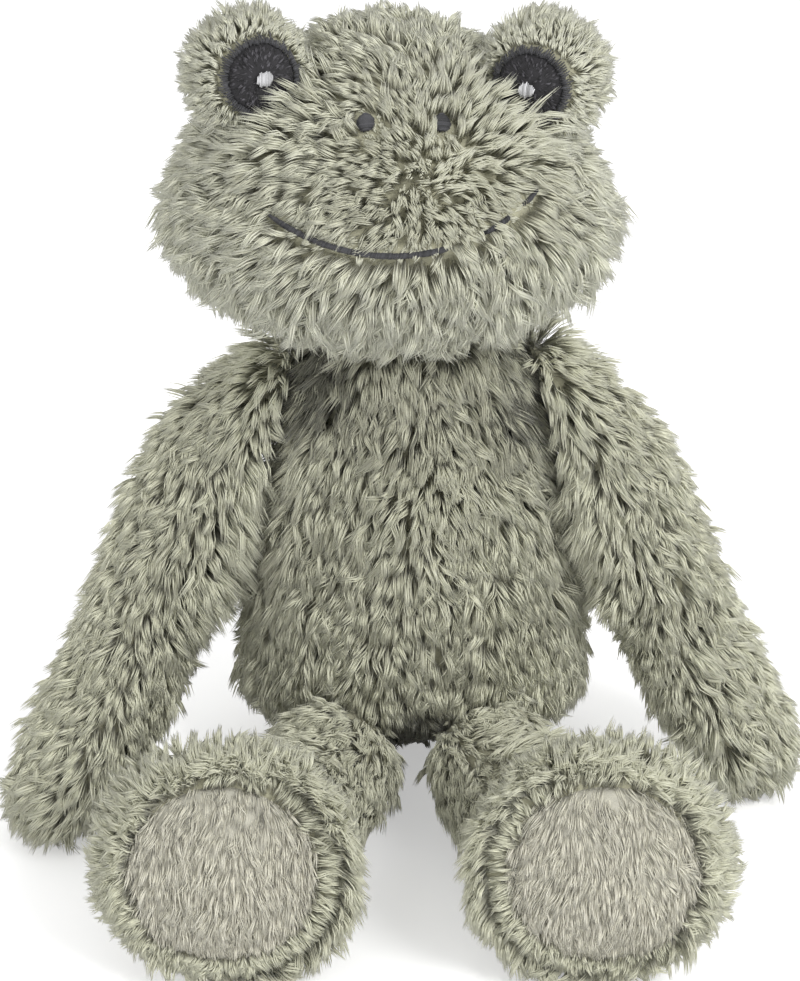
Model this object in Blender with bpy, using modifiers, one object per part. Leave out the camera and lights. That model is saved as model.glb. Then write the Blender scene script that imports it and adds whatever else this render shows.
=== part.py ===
"""Sitting plush frog: fur covers over filling, stuffed eye mounds, embroidered face and sewn-in soles.

The frog faces -Y, its own left side is +X, and the middle of its flat seat is the origin, on the floor.
Every fur cover is as thick as its cloth with the pile on it, and the filling and the pellet bag lie
inside the covers.
"""

import math

import bmesh
import bpy
from mathutils import Matrix, Vector

MM = 0.001

# Cloth, seams and cutting
PILE_WALL = 8.0 * MM
SEAM_GAP = 0.3 * MM
FILLING_GAP = 0.6 * MM
REST_FLAT = 0.5 * MM
SEAT_FLAT = 1.5 * MM
CUT_REACH = 400.0 * MM
MERGE_DISTANCE = 0.01 * MM

# Body
BODY_HEIGHT = 185.0 * MM
BODY_WIDTH = 114.0 * MM
BODY_DEPTH = 100.0 * MM
BODY_FORWARD = 23.0 * MM
# Height, half width, half depth and setback, lowest ring first
BODY_RING_SHARES = (
    (0.000, 0.58, 0.34, 0.46),
    (0.085, 0.86, 0.68, 0.28),
    (0.180, 0.99, 0.92, 0.06),
    (0.290, 1.01, 1.00, -0.01),
    (0.490, 0.85, 0.87, -0.04),
    (0.690, 0.69, 0.73, -0.07),
    (0.820, 0.59, 0.67, -0.08),
    (0.935, 0.47, 0.53, -0.08),
    (0.990, 0.24, 0.27, -0.08),
)

# Neck point, which the head nods on, inside the body's top
NECK_DROP = 35.0 * MM
NECK_HEIGHT = BODY_HEIGHT - NECK_DROP
NECK_FORWARD = 27.0 * MM
HEAD_TURN = math.radians(5.0)
HEAD_LEAN = math.radians(2.5)

# Head, measured from the neck point
HEAD_WIDTH = 133.0 * MM
HEAD_DEPTH = 110.0 * MM
HEAD_HEIGHT = 94.0 * MM
HEAD_LIFT = 12.0 * MM
HEAD_SHIFT = 10.0 * MM
HEAD_FORWARD = 6.0 * MM
# Height, half width, half depth and setback, lowest ring first
HEAD_RING_SHARES = (
    (0.000, 0.50, 0.46, 0.10),
    (0.130, 0.80, 0.76, 0.04),
    (0.340, 1.04, 1.00, -0.03),
    (0.560, 1.02, 1.04, -0.04),
    (0.790, 0.72, 0.82, 0.05),
    (0.930, 0.44, 0.54, 0.14),
    (0.995, 0.20, 0.26, 0.20),
)

# Eyes, set in from the head's sides and down from its top
EYE_MARGIN = 22.0 * MM
EYE_DROP = 9.0 * MM
EYE_SETBACK = 53.0 * MM
EYE_MOUND_RADIUS = 18.5 * MM
EYE_DISC_RADIUS = 10.5 * MM
EYE_DISC_THICKNESS = 1.2 * MM
EYE_BORDER_RADIUS = 1.1 * MM
EYE_GLINT_RADIUS = 2.4 * MM
EYE_GLINT_THICKNESS = 0.8 * MM
LEFT_EYE_LOOK_UP = math.radians(8.0)
LEFT_EYE_LOOK_IN = math.radians(24.0)
RIGHT_EYE_LOOK_UP = math.radians(18.0)
RIGHT_EYE_LOOK_IN = math.radians(13.0)

# Embroidered nostrils and smile, set in from the head's top, front and sides
NOSTRIL_SPREAD = 22.5 * MM
NOSTRIL_DROP = 7.5 * MM
NOSTRIL_SETBACK = 20.0 * MM
NOSTRIL_WIDTH = 5.2 * MM
NOSTRIL_HEIGHT = 6.2 * MM
NOSTRIL_LOOK_UP = math.radians(48.0)
NOSTRIL_REACH = 24.0 * MM
STITCH_THICKNESS = 1.2 * MM
SMILE_MARGIN = 27.0 * MM
SMILE_DROP = 42.0 * MM
SMILE_RISE = 7.5 * MM
SMILE_SLANT = 4.0 * MM
SMILE_LINE_WIDTH = 2.0 * MM

# Arms, from the shoulder inside the body's side to the hand on the floor
SHOULDER_DROP = 44.0 * MM
SHOULDER_HEIGHT = BODY_HEIGHT - SHOULDER_DROP
SHOULDER_FORWARD = 27.0 * MM
SHOULDER_SEAM_DROP = 23.0 * MM
SHOULDER_SEAM_LEAN = math.radians(12.0)
SHOULDER_SEAM_YAW = math.radians(14.0)
ARM_ROOT_DEPTH = 14.0 * MM
ARM_ROOT_RISE = 8.0 * MM
LEFT_HAND_OUT = 112.5 * MM
RIGHT_HAND_OUT = 117.5 * MM
LEFT_HAND_FORWARD = 45.0 * MM
RIGHT_HAND_FORWARD = 73.0 * MM
HAND_RADIUS = 20.0 * MM
# Outward, forward and downward way along the arm, then its half thickness
ARM_RING_SHARES = (
    (0.00, 0.00, 0.000, 0.68),
    (0.22, 0.02, 0.070, 0.82),
    (0.45, 0.08, 0.230, 0.90),
    (0.57, 0.27, 0.450, 0.99),
    (0.68, 0.50, 0.660, 1.03),
    (0.82, 0.74, 0.840, 1.06),
    (0.95, 0.95, 0.975, 0.94),
    (1.01, 1.04, 1.040, 0.60),
)

# Legs, from the hip in front of the body to the sole
HIP_SPREAD = 51.0 * MM
HIP_FORWARD = 70.0 * MM
HIP_HEIGHT = 26.0 * MM
SOLE_SPREAD = 109.0 * MM
SOLE_FORWARD = 150.0 * MM
FOOT_RADIUS = 38.0 * MM
# Forward, outward and upward way along the leg, then its half thickness
LEG_RING_SHARES = (
    (-0.220, -0.02, 0.000, 0.370),
    (-0.140, -0.01, 0.000, 0.605),
    (0.000, 0.00, 0.000, 0.640),
    (0.170, 0.10, 0.005, 0.570),
    (0.430, 0.47, 0.180, 0.690),
    (0.680, 0.81, 0.700, 0.920),
    (0.860, 0.95, 0.960, 1.020),
    (1.040, 1.00, 1.000, 0.960),
    (1.180, 1.00, 1.000, 0.780),
)

# Soles, sewn in just behind the fur's front edge
SOLE_TILT = math.radians(14.0)
SOLE_CROWN_RADIUS = 130.0 * MM
SOLE_CROWN = 1.5 * MM
SOLE_THICKNESS = 3.5 * MM

# Pellet bag, lying in the seat under the filling
PELLET_BAG_TOP = 38.0 * MM
PELLET_BAG_CROWN_RADIUS = 90.0 * MM

# Directions
UP = Vector((0.0, 0.0, 1.0))
DOWN = -UP
BACK = Vector((0.0, 1.0, 0.0))

# Mesh fineness
BODY_SIDES = 6
BODY_LEVELS = 2
LIMB_SIDES = 8
INNER_SIDES = 6
INNER_LEVELS = 1
BALL_STEPS = 28
BALL_BANDS = 16
EYE_STEPS = 20
EYE_BANDS = 12
DISC_BANDS = 4
BORDER_SIDES = 6
NOSTRIL_SIDES = 12
LIMB_LEVELS = 1
SMILE_STEPS = 16

# Colour, roughness
SAGE_FUR = ((0.40, 0.39, 0.29, 1.0), 0.95)
SAGE_FUR_HEAD = ((0.43, 0.42, 0.33, 1.0), 0.95)
SOLE_PILE = ((0.45, 0.42, 0.34, 1.0), 0.92)
CHARCOAL_PILE = ((0.065, 0.060, 0.072, 1.0), 0.85)
CHARCOAL_THREAD = ((0.050, 0.050, 0.058, 1.0), 0.55)
PALE_THREAD = ((0.80, 0.80, 0.82, 1.0), 0.40)
WHITE_FIBRE = ((0.85, 0.85, 0.83, 1.0), 0.95)
PELLET_CLOTH = ((0.70, 0.69, 0.64, 1.0), 0.90)


def clear_scene():
    """Remove every object that the scene holds."""
    for old in list(bpy.data.objects):
        bpy.data.objects.remove(old, do_unlink=True)


def new_collection(name):
    """A collection under the scene's own."""
    made = bpy.data.collections.new(name)
    bpy.context.scene.collection.children.link(made)
    return made


def new_material(name, finish):
    """A Principled material of one colour and roughness."""
    colour, roughness = finish
    made = bpy.data.materials.new(name)
    made.use_nodes = True
    shader = made.node_tree.nodes["Principled BSDF"]
    shader.inputs["Base Color"].default_value = colour
    shader.inputs["Roughness"].default_value = roughness
    made.diffuse_color = colour
    return made


def new_joint(name, place, lean=0.0, turn=0.0):
    """An empty on a seam that a piece moves about."""
    made = bpy.data.objects.new(name, None)
    made.location = place
    made.rotation_euler = (0.0, lean, turn)
    FROG.objects.link(made)
    return made


def new_piece(name, shape, finish=None, joint=None):
    """An object from a bmesh: a piece of the frog when it has a finish, and a cutter otherwise."""
    mesh = bpy.data.meshes.new(name)
    bmesh.ops.recalc_face_normals(shape, faces=shape.faces)
    shape.to_mesh(mesh)
    shape.free()
    mesh.shade_smooth()
    made = bpy.data.objects.new(name, mesh)
    made.parent = joint
    if finish is None:
        made.hide_render = True
        made.display_type = "WIRE"
        CUTTERS.objects.link(made)
    else:
        mesh.materials.append(new_material(name, finish))
        FROG.objects.link(made)
    return made


def trim(piece, *others, operation="DIFFERENCE"):
    """Cut each other solid out of a piece, or keep only what lies in it."""
    for other in others:
        cut = piece.modifiers.new(other.name, "BOOLEAN")
        cut.operation = operation
        cut.solver = "EXACT"
        cut.object = other


def ring_frame(centre, direction, reference):
    """A placing matrix whose z runs along the form and whose y leans to the reference."""
    along = direction.normalized()
    across = (reference - along * reference.dot(along)).normalized()
    side = across.cross(along)
    placed = Matrix((side, across, along)).transposed().to_4x4()
    placed.translation = centre
    return placed


def soft_form(name, rings, reference, sides, levels, finish=None, joint=None, inset=0.0):
    """A closed soft solid: elliptical rings bridged to a coarse cage, which subdivision rounds.

    A ring is its centre, facing, half width and half depth. Subdivision draws a ring in to
    (2 + cos(turn)) / 3 of its size, so the cage is that much wider. The inset moves the whole
    surface inwards.
    """
    swell = 3.0 / (2.0 + math.cos(math.tau / sides))
    last = len(rings) - 1
    shape = bmesh.new()
    loops = []
    for index, (middle, facing, half_width, half_depth) in enumerate(rings):
        centre = middle.copy()
        if index == 0:
            centre += facing * inset
        if index == last:
            centre -= facing * inset
        size = Matrix.Diagonal(((half_width - inset) * swell, (half_depth - inset) * swell, 1.0, 1.0))
        loop = bmesh.ops.create_circle(
            shape,
            cap_ends=index in (0, last),
            radius=1.0,
            segments=sides,
            matrix=ring_frame(centre, facing, reference) @ size,
        )
        loops.append(list({edge for vert in loop["verts"] for edge in vert.link_edges}))
    for lower, upper in zip(loops, loops[1:]):
        bmesh.ops.bridge_loops(shape, edges=lower + upper)
    made = new_piece(name, shape, finish, joint)
    rounder = made.modifiers.new("round", "SUBSURF")
    rounder.levels = levels
    rounder.render_levels = levels
    return made


def surface_points(rings, reference, sides, levels):
    """The points of a soft form's rounded surface."""
    probe = soft_form("probe", rings, reference, sides, levels)
    bpy.context.view_layer.update()
    shape = probe.evaluated_get(bpy.context.evaluated_depsgraph_get()).data
    points = [vert.co.copy() for vert in shape.vertices]
    bpy.data.objects.remove(probe, do_unlink=True)
    return points


def ball(name, radius, centre, finish=None, joint=None, steps=BALL_STEPS, bands=BALL_BANDS):
    """A ball; a cutter's facets stay outside its radius, so that what turns in its socket is clear."""
    shape = bmesh.new()
    size = radius if finish else radius / math.cos(math.pi / steps) ** 2
    place = Matrix.Translation(centre)
    bmesh.ops.create_uvsphere(shape, u_segments=steps, v_segments=bands, radius=size, matrix=place)
    return new_piece(name, shape, finish, joint)


def half_space(name, frame, joint=None):
    """A large block cutter on the +z side of a frame."""
    shape = bmesh.new()
    place = frame @ Matrix.Translation((0.0, 0.0, CUT_REACH / 2))
    bmesh.ops.create_cube(shape, size=CUT_REACH, matrix=place)
    return new_piece(name, shape, None, joint)


def turned(name, profile, closed, frame, finish, joint):
    """A solid turned from a profile of radius and height, given down its outer side."""
    shape = bmesh.new()
    points = [shape.verts.new((radius, 0.0, height)) for radius, height in profile]
    for start, end in zip(points, points[1:]):
        shape.edges.new((start, end))
    if closed:
        shape.edges.new((points[-1], points[0]))
    made = new_piece(name, shape, finish, joint)
    made.matrix_basis = frame
    lathe = made.modifiers.new("turn", "SCREW")
    lathe.steps = EYE_STEPS
    lathe.render_steps = EYE_STEPS
    lathe.use_merge_vertices = True
    lathe.merge_threshold = MERGE_DISTANCE
    lathe.use_smooth_shade = True
    return made


def curved_disc(name, inner_radius, disc_radius, thickness, frame, finish, joint):
    """A round patch of even thickness that lies on a ball of the inner radius."""
    outer_radius = inner_radius + thickness
    edge = math.asin(disc_radius / inner_radius)
    angles = [edge * step / DISC_BANDS for step in range(DISC_BANDS + 1)]
    outer = [(outer_radius * math.sin(angle), outer_radius * math.cos(angle)) for angle in angles]
    inner = [(inner_radius * math.sin(angle), inner_radius * math.cos(angle)) for angle in reversed(angles)]
    return turned(name, outer + inner, False, frame, finish, joint)


def body_rings():
    """Rings of the pear-shaped body from its seat to the dome inside the head.

    They are lowered until the rounded surface is as far under the floor as the seat is cut flat.
    """
    half_depth = BODY_DEPTH / 2
    rings = []
    for height, wide, deep, setback in BODY_RING_SHARES:
        centre = Vector((0.0, setback * half_depth - BODY_FORWARD, height * BODY_HEIGHT))
        rings.append((centre, UP, wide * BODY_WIDTH / 2, deep * half_depth))
    lowest = min(point.z for point in surface_points(rings, BACK, BODY_SIDES, BODY_LEVELS))
    for centre, _, _, _ in rings:
        centre.z -= lowest + SEAT_FLAT
    return rings


def head_rings():
    """Rings of the broad head from its underside to the crown, from the neck point."""
    half_depth = HEAD_DEPTH / 2
    rings = []
    for height, wide, deep, setback in HEAD_RING_SHARES:
        centre = Vector((-HEAD_SHIFT, setback * half_depth - HEAD_FORWARD, HEAD_LIFT + height * HEAD_HEIGHT))
        rings.append((centre, UP, wide * HEAD_WIDTH / 2, deep * half_depth))
    return rings


def round_rings(centres, radii):
    """Round rings along a limb, each square to the limb's middle line."""
    before = [centres[0]] + centres[:-1]
    after = centres[1:] + [centres[-1]]
    facings = [(end - start).normalized() for start, end in zip(before, after)]
    return list(zip(centres, facings, radii, radii))


def arm_rings(side, root, hand):
    """Rings of an arm from its root inside the body to the hand, from the shoulder point."""
    centres = []
    for out, forward, down, _ in ARM_RING_SHARES:
        reach = Vector((out * (hand.x - root.x), forward * (hand.y - root.y), down * (hand.z - root.z)))
        centres.append(Vector((side * (root.x + reach.x), root.y + reach.y, root.z + reach.z)))
    return round_rings(centres, [row[-1] * HAND_RADIUS for row in ARM_RING_SHARES])


def leg_rings(side, sole):
    """Rings of a leg from the end in the body to past the sole, from the hip point."""
    centres = []
    for forward, out, up, _ in LEG_RING_SHARES:
        centres.append(Vector((side * out * sole.x, forward * sole.y, up * sole.z)))
    return round_rings(centres, [row[-1] * FOOT_RADIUS for row in LEG_RING_SHARES])


def neck_reach():
    """Greatest distance from the neck point to the dome that the head sits on."""
    neck = Vector((0.0, -NECK_FORWARD, NECK_HEIGHT))
    points = surface_points(body_rings(), BACK, BODY_SIDES, BODY_LEVELS)
    return max((point - neck).length for point in points if point.z > NECK_HEIGHT)


def hip_reach(side, sole):
    """Greatest distance from the hip point to the thigh's round end behind it."""
    points = surface_points(leg_rings(side, sole), UP, LIMB_SIDES, LIMB_LEVELS)
    return max(point.length for point in points if point.y > 0.0)


def side_reach(height, outward):
    """How far the body's ring at a height reaches along a level direction."""
    rings = body_rings()
    heights = [middle.z for middle, _, _, _ in rings]
    after = next(index for index, level in enumerate(heights) if level > height)
    share = (height - heights[after - 1]) / (heights[after] - heights[after - 1])
    low, high = rings[after - 1], rings[after]
    middle = low[0].lerp(high[0], share)
    half_width = low[2] + share * (high[2] - low[2])
    half_depth = low[3] + share * (high[3] - low[3])
    return middle.dot(outward) + math.hypot(half_width * outward.x, half_depth * outward.y)


def make_legs(floor):
    """Both legs: a fur cover open at the sole, its filling and the sole, on the hip's empty."""
    sockets = []
    for name, side in (("left", 1.0), ("right", -1.0)):
        hip = Vector((side * HIP_SPREAD / 2, -HIP_FORWARD, HIP_HEIGHT))
        joint = new_joint(name + "_hip", hip)
        sole = Vector(((SOLE_SPREAD - HIP_SPREAD) / 2, HIP_FORWARD - SOLE_FORWARD, FOOT_RADIUS - HIP_HEIGHT))
        points = surface_points(leg_rings(side, sole), UP, LIMB_SIDES, LIMB_LEVELS)
        sole.z -= HIP_HEIGHT + min(point.z for point in points) + REST_FLAT
        rings = leg_rings(side, sole)
        centre = Vector((side * sole.x, sole.y, sole.z))
        facing = Vector((0.0, -math.cos(SOLE_TILT), math.sin(SOLE_TILT)))
        form = (rings, UP, LIMB_SIDES, LIMB_LEVELS)
        filling_inset = PILE_WALL + FILLING_GAP

        cover = soft_form(name + "_leg_cover", *form, SAGE_FUR, joint)
        filling = soft_form(name + "_leg_filling", *form, WHITE_FIBRE, joint, filling_inset)
        hollow = soft_form(name + "_leg_hollow", *form, None, joint, PILE_WALL)
        room = soft_form(name + "_leg_room", *form, None, joint, filling_inset)
        front = half_space(name + "_sole_front", ring_frame(centre, facing, UP), joint)
        trim(cover, hollow, front, floor)

        ball_centre = centre + facing * (SOLE_CROWN - SOLE_THICKNESS - SOLE_CROWN_RADIUS)
        frame = ring_frame(ball_centre, facing, UP)
        patch = (SOLE_CROWN_RADIUS, FOOT_RADIUS, SOLE_THICKNESS)
        pad = curved_disc(name + "_sole", *patch, frame, SOLE_PILE, joint)
        trim(pad, room, operation="INTERSECT")
        drop = SOLE_CROWN_RADIUS - math.sqrt(SOLE_CROWN_RADIUS**2 - FOOT_RADIUS**2)
        behind = centre + facing * (SOLE_CROWN - SOLE_THICKNESS - drop - SEAM_GAP)
        trim(filling, half_space(name + "_sole_back", ring_frame(behind, facing, UP), joint))
        sockets.append(ball(name + "_hip_socket", hip_reach(side, sole) + SEAM_GAP, hip))
    return sockets


def make_body(floor, hip_sockets):
    """The body cover, the pellet bag in its seat and the filling above the bag."""
    rings = body_rings()
    filling_inset = PILE_WALL + FILLING_GAP
    inner_form = (rings, BACK, INNER_SIDES, INNER_LEVELS)
    cover = soft_form("body_cover", rings, BACK, BODY_SIDES, BODY_LEVELS, SAGE_FUR)
    hollow = soft_form("body_hollow", *inner_form, None, None, PILE_WALL)
    filling = soft_form("body_filling", *inner_form, WHITE_FIBRE, None, filling_inset)
    bag = soft_form("pellet_bag", *inner_form, PELLET_CLOTH, None, filling_inset)
    crown_centre = Vector((0.0, -BODY_FORWARD, PELLET_BAG_TOP - PELLET_BAG_CROWN_RADIUS))
    bag_crown = ball("pellet_bag_crown", PELLET_BAG_CROWN_RADIUS, crown_centre)
    bag_room = ball("pellet_bag_room", PELLET_BAG_CROWN_RADIUS + SEAM_GAP, crown_centre)
    trim(cover, hollow, *hip_sockets, floor)
    trim(filling, bag_room, *hip_sockets)
    trim(bag, bag_crown, operation="INTERSECT")
    trim(bag, *hip_sockets)


def make_arms(floor):
    """Both arms: a fur cover open at the shoulder's seam plane, and its filling, on the shoulder's empty."""
    hands = (
        ("left", 1.0, LEFT_HAND_OUT, LEFT_HAND_FORWARD),
        ("right", -1.0, RIGHT_HAND_OUT, RIGHT_HAND_FORWARD),
    )
    for name, side, out, forward in hands:
        level = Vector((side * math.cos(SHOULDER_SEAM_YAW), math.sin(SHOULDER_SEAM_YAW), 0.0))
        outward = level * math.cos(SHOULDER_SEAM_LEAN) + UP * math.sin(SHOULDER_SEAM_LEAN)
        seam_drop = SHOULDER_SEAM_DROP * math.tan(SHOULDER_SEAM_LEAN)
        reach = side_reach(SHOULDER_HEIGHT - SHOULDER_SEAM_DROP, level) + SEAM_GAP - seam_drop
        seam_x = (reach + SHOULDER_FORWARD * level.y) / math.cos(SHOULDER_SEAM_YAW)
        shoulder = Vector((side * seam_x, -SHOULDER_FORWARD, SHOULDER_HEIGHT))
        joint = new_joint(name + "_shoulder", shoulder)
        root = Vector((-ARM_ROOT_DEPTH, 0.0, ARM_ROOT_RISE))
        hand = Vector((out - seam_x, SHOULDER_FORWARD - forward, HAND_RADIUS - SHOULDER_HEIGHT))
        points = surface_points(arm_rings(side, root, hand), BACK, LIMB_SIDES, LIMB_LEVELS)
        hand.z -= SHOULDER_HEIGHT + min(point.z for point in points) + REST_FLAT
        rings = arm_rings(side, root, hand)
        inner_form = (rings, BACK, INNER_SIDES, INNER_LEVELS)

        cover = soft_form(name + "_arm_cover", rings, BACK, LIMB_SIDES, LIMB_LEVELS, SAGE_FUR, joint)
        hollow = soft_form(name + "_arm_hollow", *inner_form, None, joint, PILE_WALL)
        filling = soft_form(name + "_arm_filling", *inner_form, WHITE_FIBRE, joint, PILE_WALL + FILLING_GAP)
        seam = half_space(name + "_shoulder_seam", ring_frame(Vector(), -outward, BACK), joint)
        trim(cover, hollow, seam, floor)
        trim(filling, seam)


def make_head():
    """The head cover and its filling, both hollowed where they sit on the body's dome."""
    joint = new_joint("neck", (0.0, -NECK_FORWARD, NECK_HEIGHT), HEAD_LEAN, HEAD_TURN)
    rings = head_rings()
    inner_form = (rings, BACK, INNER_SIDES, INNER_LEVELS)
    skin_form = (rings, BACK, BODY_SIDES, BODY_LEVELS)
    cover = soft_form("head_cover", *skin_form, SAGE_FUR_HEAD, joint)
    hollow = soft_form("head_hollow", *inner_form, None, joint, PILE_WALL)
    filling = soft_form("head_filling", *inner_form, WHITE_FIBRE, joint, PILE_WALL + FILLING_GAP)
    socket = ball("neck_socket", neck_reach() + SEAM_GAP, Vector(), None, joint)
    trim(cover, hollow, socket)
    trim(filling, socket)
    room = soft_form("head_room", *skin_form, None, joint, -SEAM_GAP)
    layer = soft_form("stitch_layer", *skin_form, None, joint, -SEAM_GAP - STITCH_THICKNESS)
    return joint, room, layer


def face_point(across, setback, drop):
    """A point of the head from how far across it is, behind the front and under the top."""
    back = setback - HEAD_DEPTH / 2 - HEAD_FORWARD
    return Vector((across - HEAD_SHIFT, back, HEAD_LIFT + HEAD_HEIGHT - drop))


def make_eyes(joint, head_room):
    """Stuffed mounds on the head, each with a short-pile disc, its stitched border and a glint."""
    eyes = (
        ("left", 1.0, LEFT_EYE_LOOK_UP, LEFT_EYE_LOOK_IN),
        ("right", -1.0, RIGHT_EYE_LOOK_UP, RIGHT_EYE_LOOK_IN),
    )
    for name, side, look_up, look_in in eyes:
        centre = face_point(side * (HEAD_WIDTH / 2 - EYE_MARGIN), EYE_SETBACK, EYE_DROP)
        flat = math.cos(look_up)
        look = Vector((-side * math.sin(look_in) * flat, -math.cos(look_in) * flat, math.sin(look_up)))
        frame = ring_frame(centre, look, UP)
        size = (EYE_MOUND_RADIUS, centre)
        mound = ball(name + "_eye_mound", *size, SAGE_FUR_HEAD, joint, EYE_STEPS, EYE_BANDS)

        seat = EYE_MOUND_RADIUS + SEAM_GAP
        patch = (seat, EYE_DISC_RADIUS, EYE_DISC_THICKNESS)
        disc = curved_disc(name + "_eye_disc", *patch, frame, CHARCOAL_PILE, joint)

        ring_radius = seat + EYE_BORDER_RADIUS
        turn = math.asin(EYE_DISC_RADIUS / seat) + (EYE_BORDER_RADIUS + SEAM_GAP) / seat
        middle = (ring_radius * math.sin(turn), ring_radius * math.cos(turn))
        angles = [-math.tau * step / BORDER_SIDES for step in range(BORDER_SIDES)]
        profile = [
            (middle[0] + EYE_BORDER_RADIUS * math.cos(angle), middle[1] + EYE_BORDER_RADIUS * math.sin(angle))
            for angle in angles
        ]
        border = turned(name + "_eye_border", profile, True, frame, CHARCOAL_THREAD, joint)
        for piece in (mound, disc, border):
            trim(piece, head_room)

        glint_seat = seat + EYE_DISC_THICKNESS + SEAM_GAP
        patch = (glint_seat, EYE_GLINT_RADIUS, EYE_GLINT_THICKNESS)
        curved_disc(name + "_eye_glint", *patch, frame, PALE_THREAD, joint)


def make_face(joint, head_room, stitch_layer):
    """Embroidered nostrils and smile: outlines pushed into the head, kept only as a thin layer on it."""
    for name, side in (("left", 1.0), ("right", -1.0)):
        centre = face_point(side * NOSTRIL_SPREAD / 2, NOSTRIL_SETBACK, NOSTRIL_DROP)
        look = Vector((0.0, -math.cos(NOSTRIL_LOOK_UP), math.sin(NOSTRIL_LOOK_UP)))
        size = Matrix.Diagonal((NOSTRIL_WIDTH / 2, NOSTRIL_HEIGHT / 2, NOSTRIL_REACH, 1.0))
        shape = bmesh.new()
        bmesh.ops.create_cone(
            shape,
            cap_ends=True,
            segments=NOSTRIL_SIDES,
            radius1=1.0,
            radius2=1.0,
            depth=1.0,
            matrix=ring_frame(centre, look, UP) @ size,
        )
        nostril = new_piece(name + "_nostril", shape, CHARCOAL_THREAD, joint)
        trim(nostril, stitch_layer, operation="INTERSECT")
        trim(nostril, head_room)

    shape = bmesh.new()
    points = []
    half_width = HEAD_WIDTH / 2 - SMILE_MARGIN
    for step in range(SMILE_STEPS + 1):
        across = 2.0 * step / SMILE_STEPS - 1.0
        drop = SMILE_DROP - SMILE_RISE * across**2 - SMILE_SLANT * across
        points.append(shape.verts.new(face_point(across * half_width, -HEAD_DEPTH / 2, drop)))
    line = [shape.edges.new(pair) for pair in zip(points, points[1:])]
    swept = bmesh.ops.extrude_edge_only(shape, edges=line)
    moved = [item for item in swept["geom"] if isinstance(item, bmesh.types.BMVert)]
    bmesh.ops.translate(shape, verts=moved, vec=(0.0, HEAD_DEPTH, 0.0))
    mouth = new_piece("mouth", shape, CHARCOAL_THREAD, joint)
    band = mouth.modifiers.new("line width", "SOLIDIFY")
    band.thickness = SMILE_LINE_WIDTH
    band.offset = 0.0
    band.use_even_offset = True
    trim(mouth, stitch_layer, operation="INTERSECT")
    trim(mouth, head_room)


clear_scene()
FROG = new_collection("plush_frog")
CUTTERS = new_collection("cutters")
FLOOR = half_space("floor", ring_frame(Vector(), DOWN, BACK))
make_body(FLOOR, make_legs(FLOOR))
make_arms(FLOOR)
NECK, HEAD_ROOM, STITCH_LAYER = make_head()
make_eyes(NECK, HEAD_ROOM)
make_face(NECK, HEAD_ROOM, STITCH_LAYER)
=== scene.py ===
"""Looks of a sitting plush frog: fur combed in locks, short-pile soles and eyes, and an embroidered face.

The frog faces -Y, its own left side is +X, and the middle of its seat is the origin.
"""

import math

import bpy
import numpy as np
from bpy.props import FloatProperty, FloatVectorProperty, IntProperty, PointerProperty
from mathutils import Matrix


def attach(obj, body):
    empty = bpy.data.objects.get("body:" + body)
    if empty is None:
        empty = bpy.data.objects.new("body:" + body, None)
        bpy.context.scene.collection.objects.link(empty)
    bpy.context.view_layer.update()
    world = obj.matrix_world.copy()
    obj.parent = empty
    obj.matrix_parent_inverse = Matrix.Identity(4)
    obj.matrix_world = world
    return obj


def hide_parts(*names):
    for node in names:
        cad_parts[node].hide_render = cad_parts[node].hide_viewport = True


bl_info = {
    "name": "Plush frog",
    "version": (1, 0, 0),
    "blender": (4, 5, 0),
    "location": "3D View > Sidebar > Frog",
    "description": "Fur, soles, eyes and embroidered face of a sitting plush frog",
    "category": "Object",
}

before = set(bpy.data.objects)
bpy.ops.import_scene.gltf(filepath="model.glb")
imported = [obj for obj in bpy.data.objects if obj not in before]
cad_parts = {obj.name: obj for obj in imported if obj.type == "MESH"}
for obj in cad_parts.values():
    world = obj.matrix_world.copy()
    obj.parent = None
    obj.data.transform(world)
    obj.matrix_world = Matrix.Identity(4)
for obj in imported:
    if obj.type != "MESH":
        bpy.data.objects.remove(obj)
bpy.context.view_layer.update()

MM = 0.001
WHITE = (1.0, 1.0, 1.0)
QUARTERS = ("front_right", "front_left", "back_right", "back_left")
HALVES = ("front", "back")
SIDES = ((1.0, "left"), (-1.0, "right"))
GOLDEN_SHARE = 0.6180339887
GOLDEN_TURN = math.pi * (3.0 - math.sqrt(5.0))

# How deep the cloth lies in the pile, its height over the floor, and where hairs start to be pressed up
SKIN_INSET = 5.6 * MM
SKIN_LIFT = 0.3 * MM
FLOOR_SKIM = 1.6 * MM

# Where a hair's root, thickest place and tip are along its length
HAIR_WAYS = (0.0, 0.66, 1.0)

# Body rings: height, half width, half depth and setback as shares, lowest first
BODY_SIZE = (57.0 * MM, 50.0 * MM, 185.0 * MM)
BODY_SINK = 2.5 * MM
BODY_FORWARD = 23.0 * MM
BODY_RING_SHARES = (
    (0.000, 0.58, 0.34, 0.46),
    (0.085, 0.86, 0.68, 0.28),
    (0.180, 0.99, 0.92, 0.06),
    (0.290, 1.01, 1.00, -0.01),
    (0.490, 0.85, 0.87, -0.04),
    (0.690, 0.69, 0.73, -0.07),
    (0.820, 0.59, 0.67, -0.08),
    (0.935, 0.47, 0.53, -0.08),
    (0.990, 0.24, 0.27, -0.08),
)

# Head rings, from the neck point
NECK = np.array((0.0, -27.0, 150.0)) * MM
HEAD_TURN = math.radians(5.0)
HEAD_LEAN = math.radians(2.5)
HEAD_SIZE = (66.5 * MM, 55.0 * MM, 94.0 * MM)
HEAD_START = np.array((-10.0, -6.0, 12.0)) * MM
HEAD_RING_SHARES = (
    (0.000, 0.50, 0.46, 0.10),
    (0.130, 0.80, 0.76, 0.04),
    (0.340, 1.04, 1.00, -0.03),
    (0.560, 1.02, 1.04, -0.04),
    (0.790, 0.72, 0.82, 0.05),
    (0.930, 0.44, 0.54, 0.14),
    (0.995, 0.20, 0.26, 0.20),
)
NECK_SOCKET = 34.0 * MM

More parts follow.
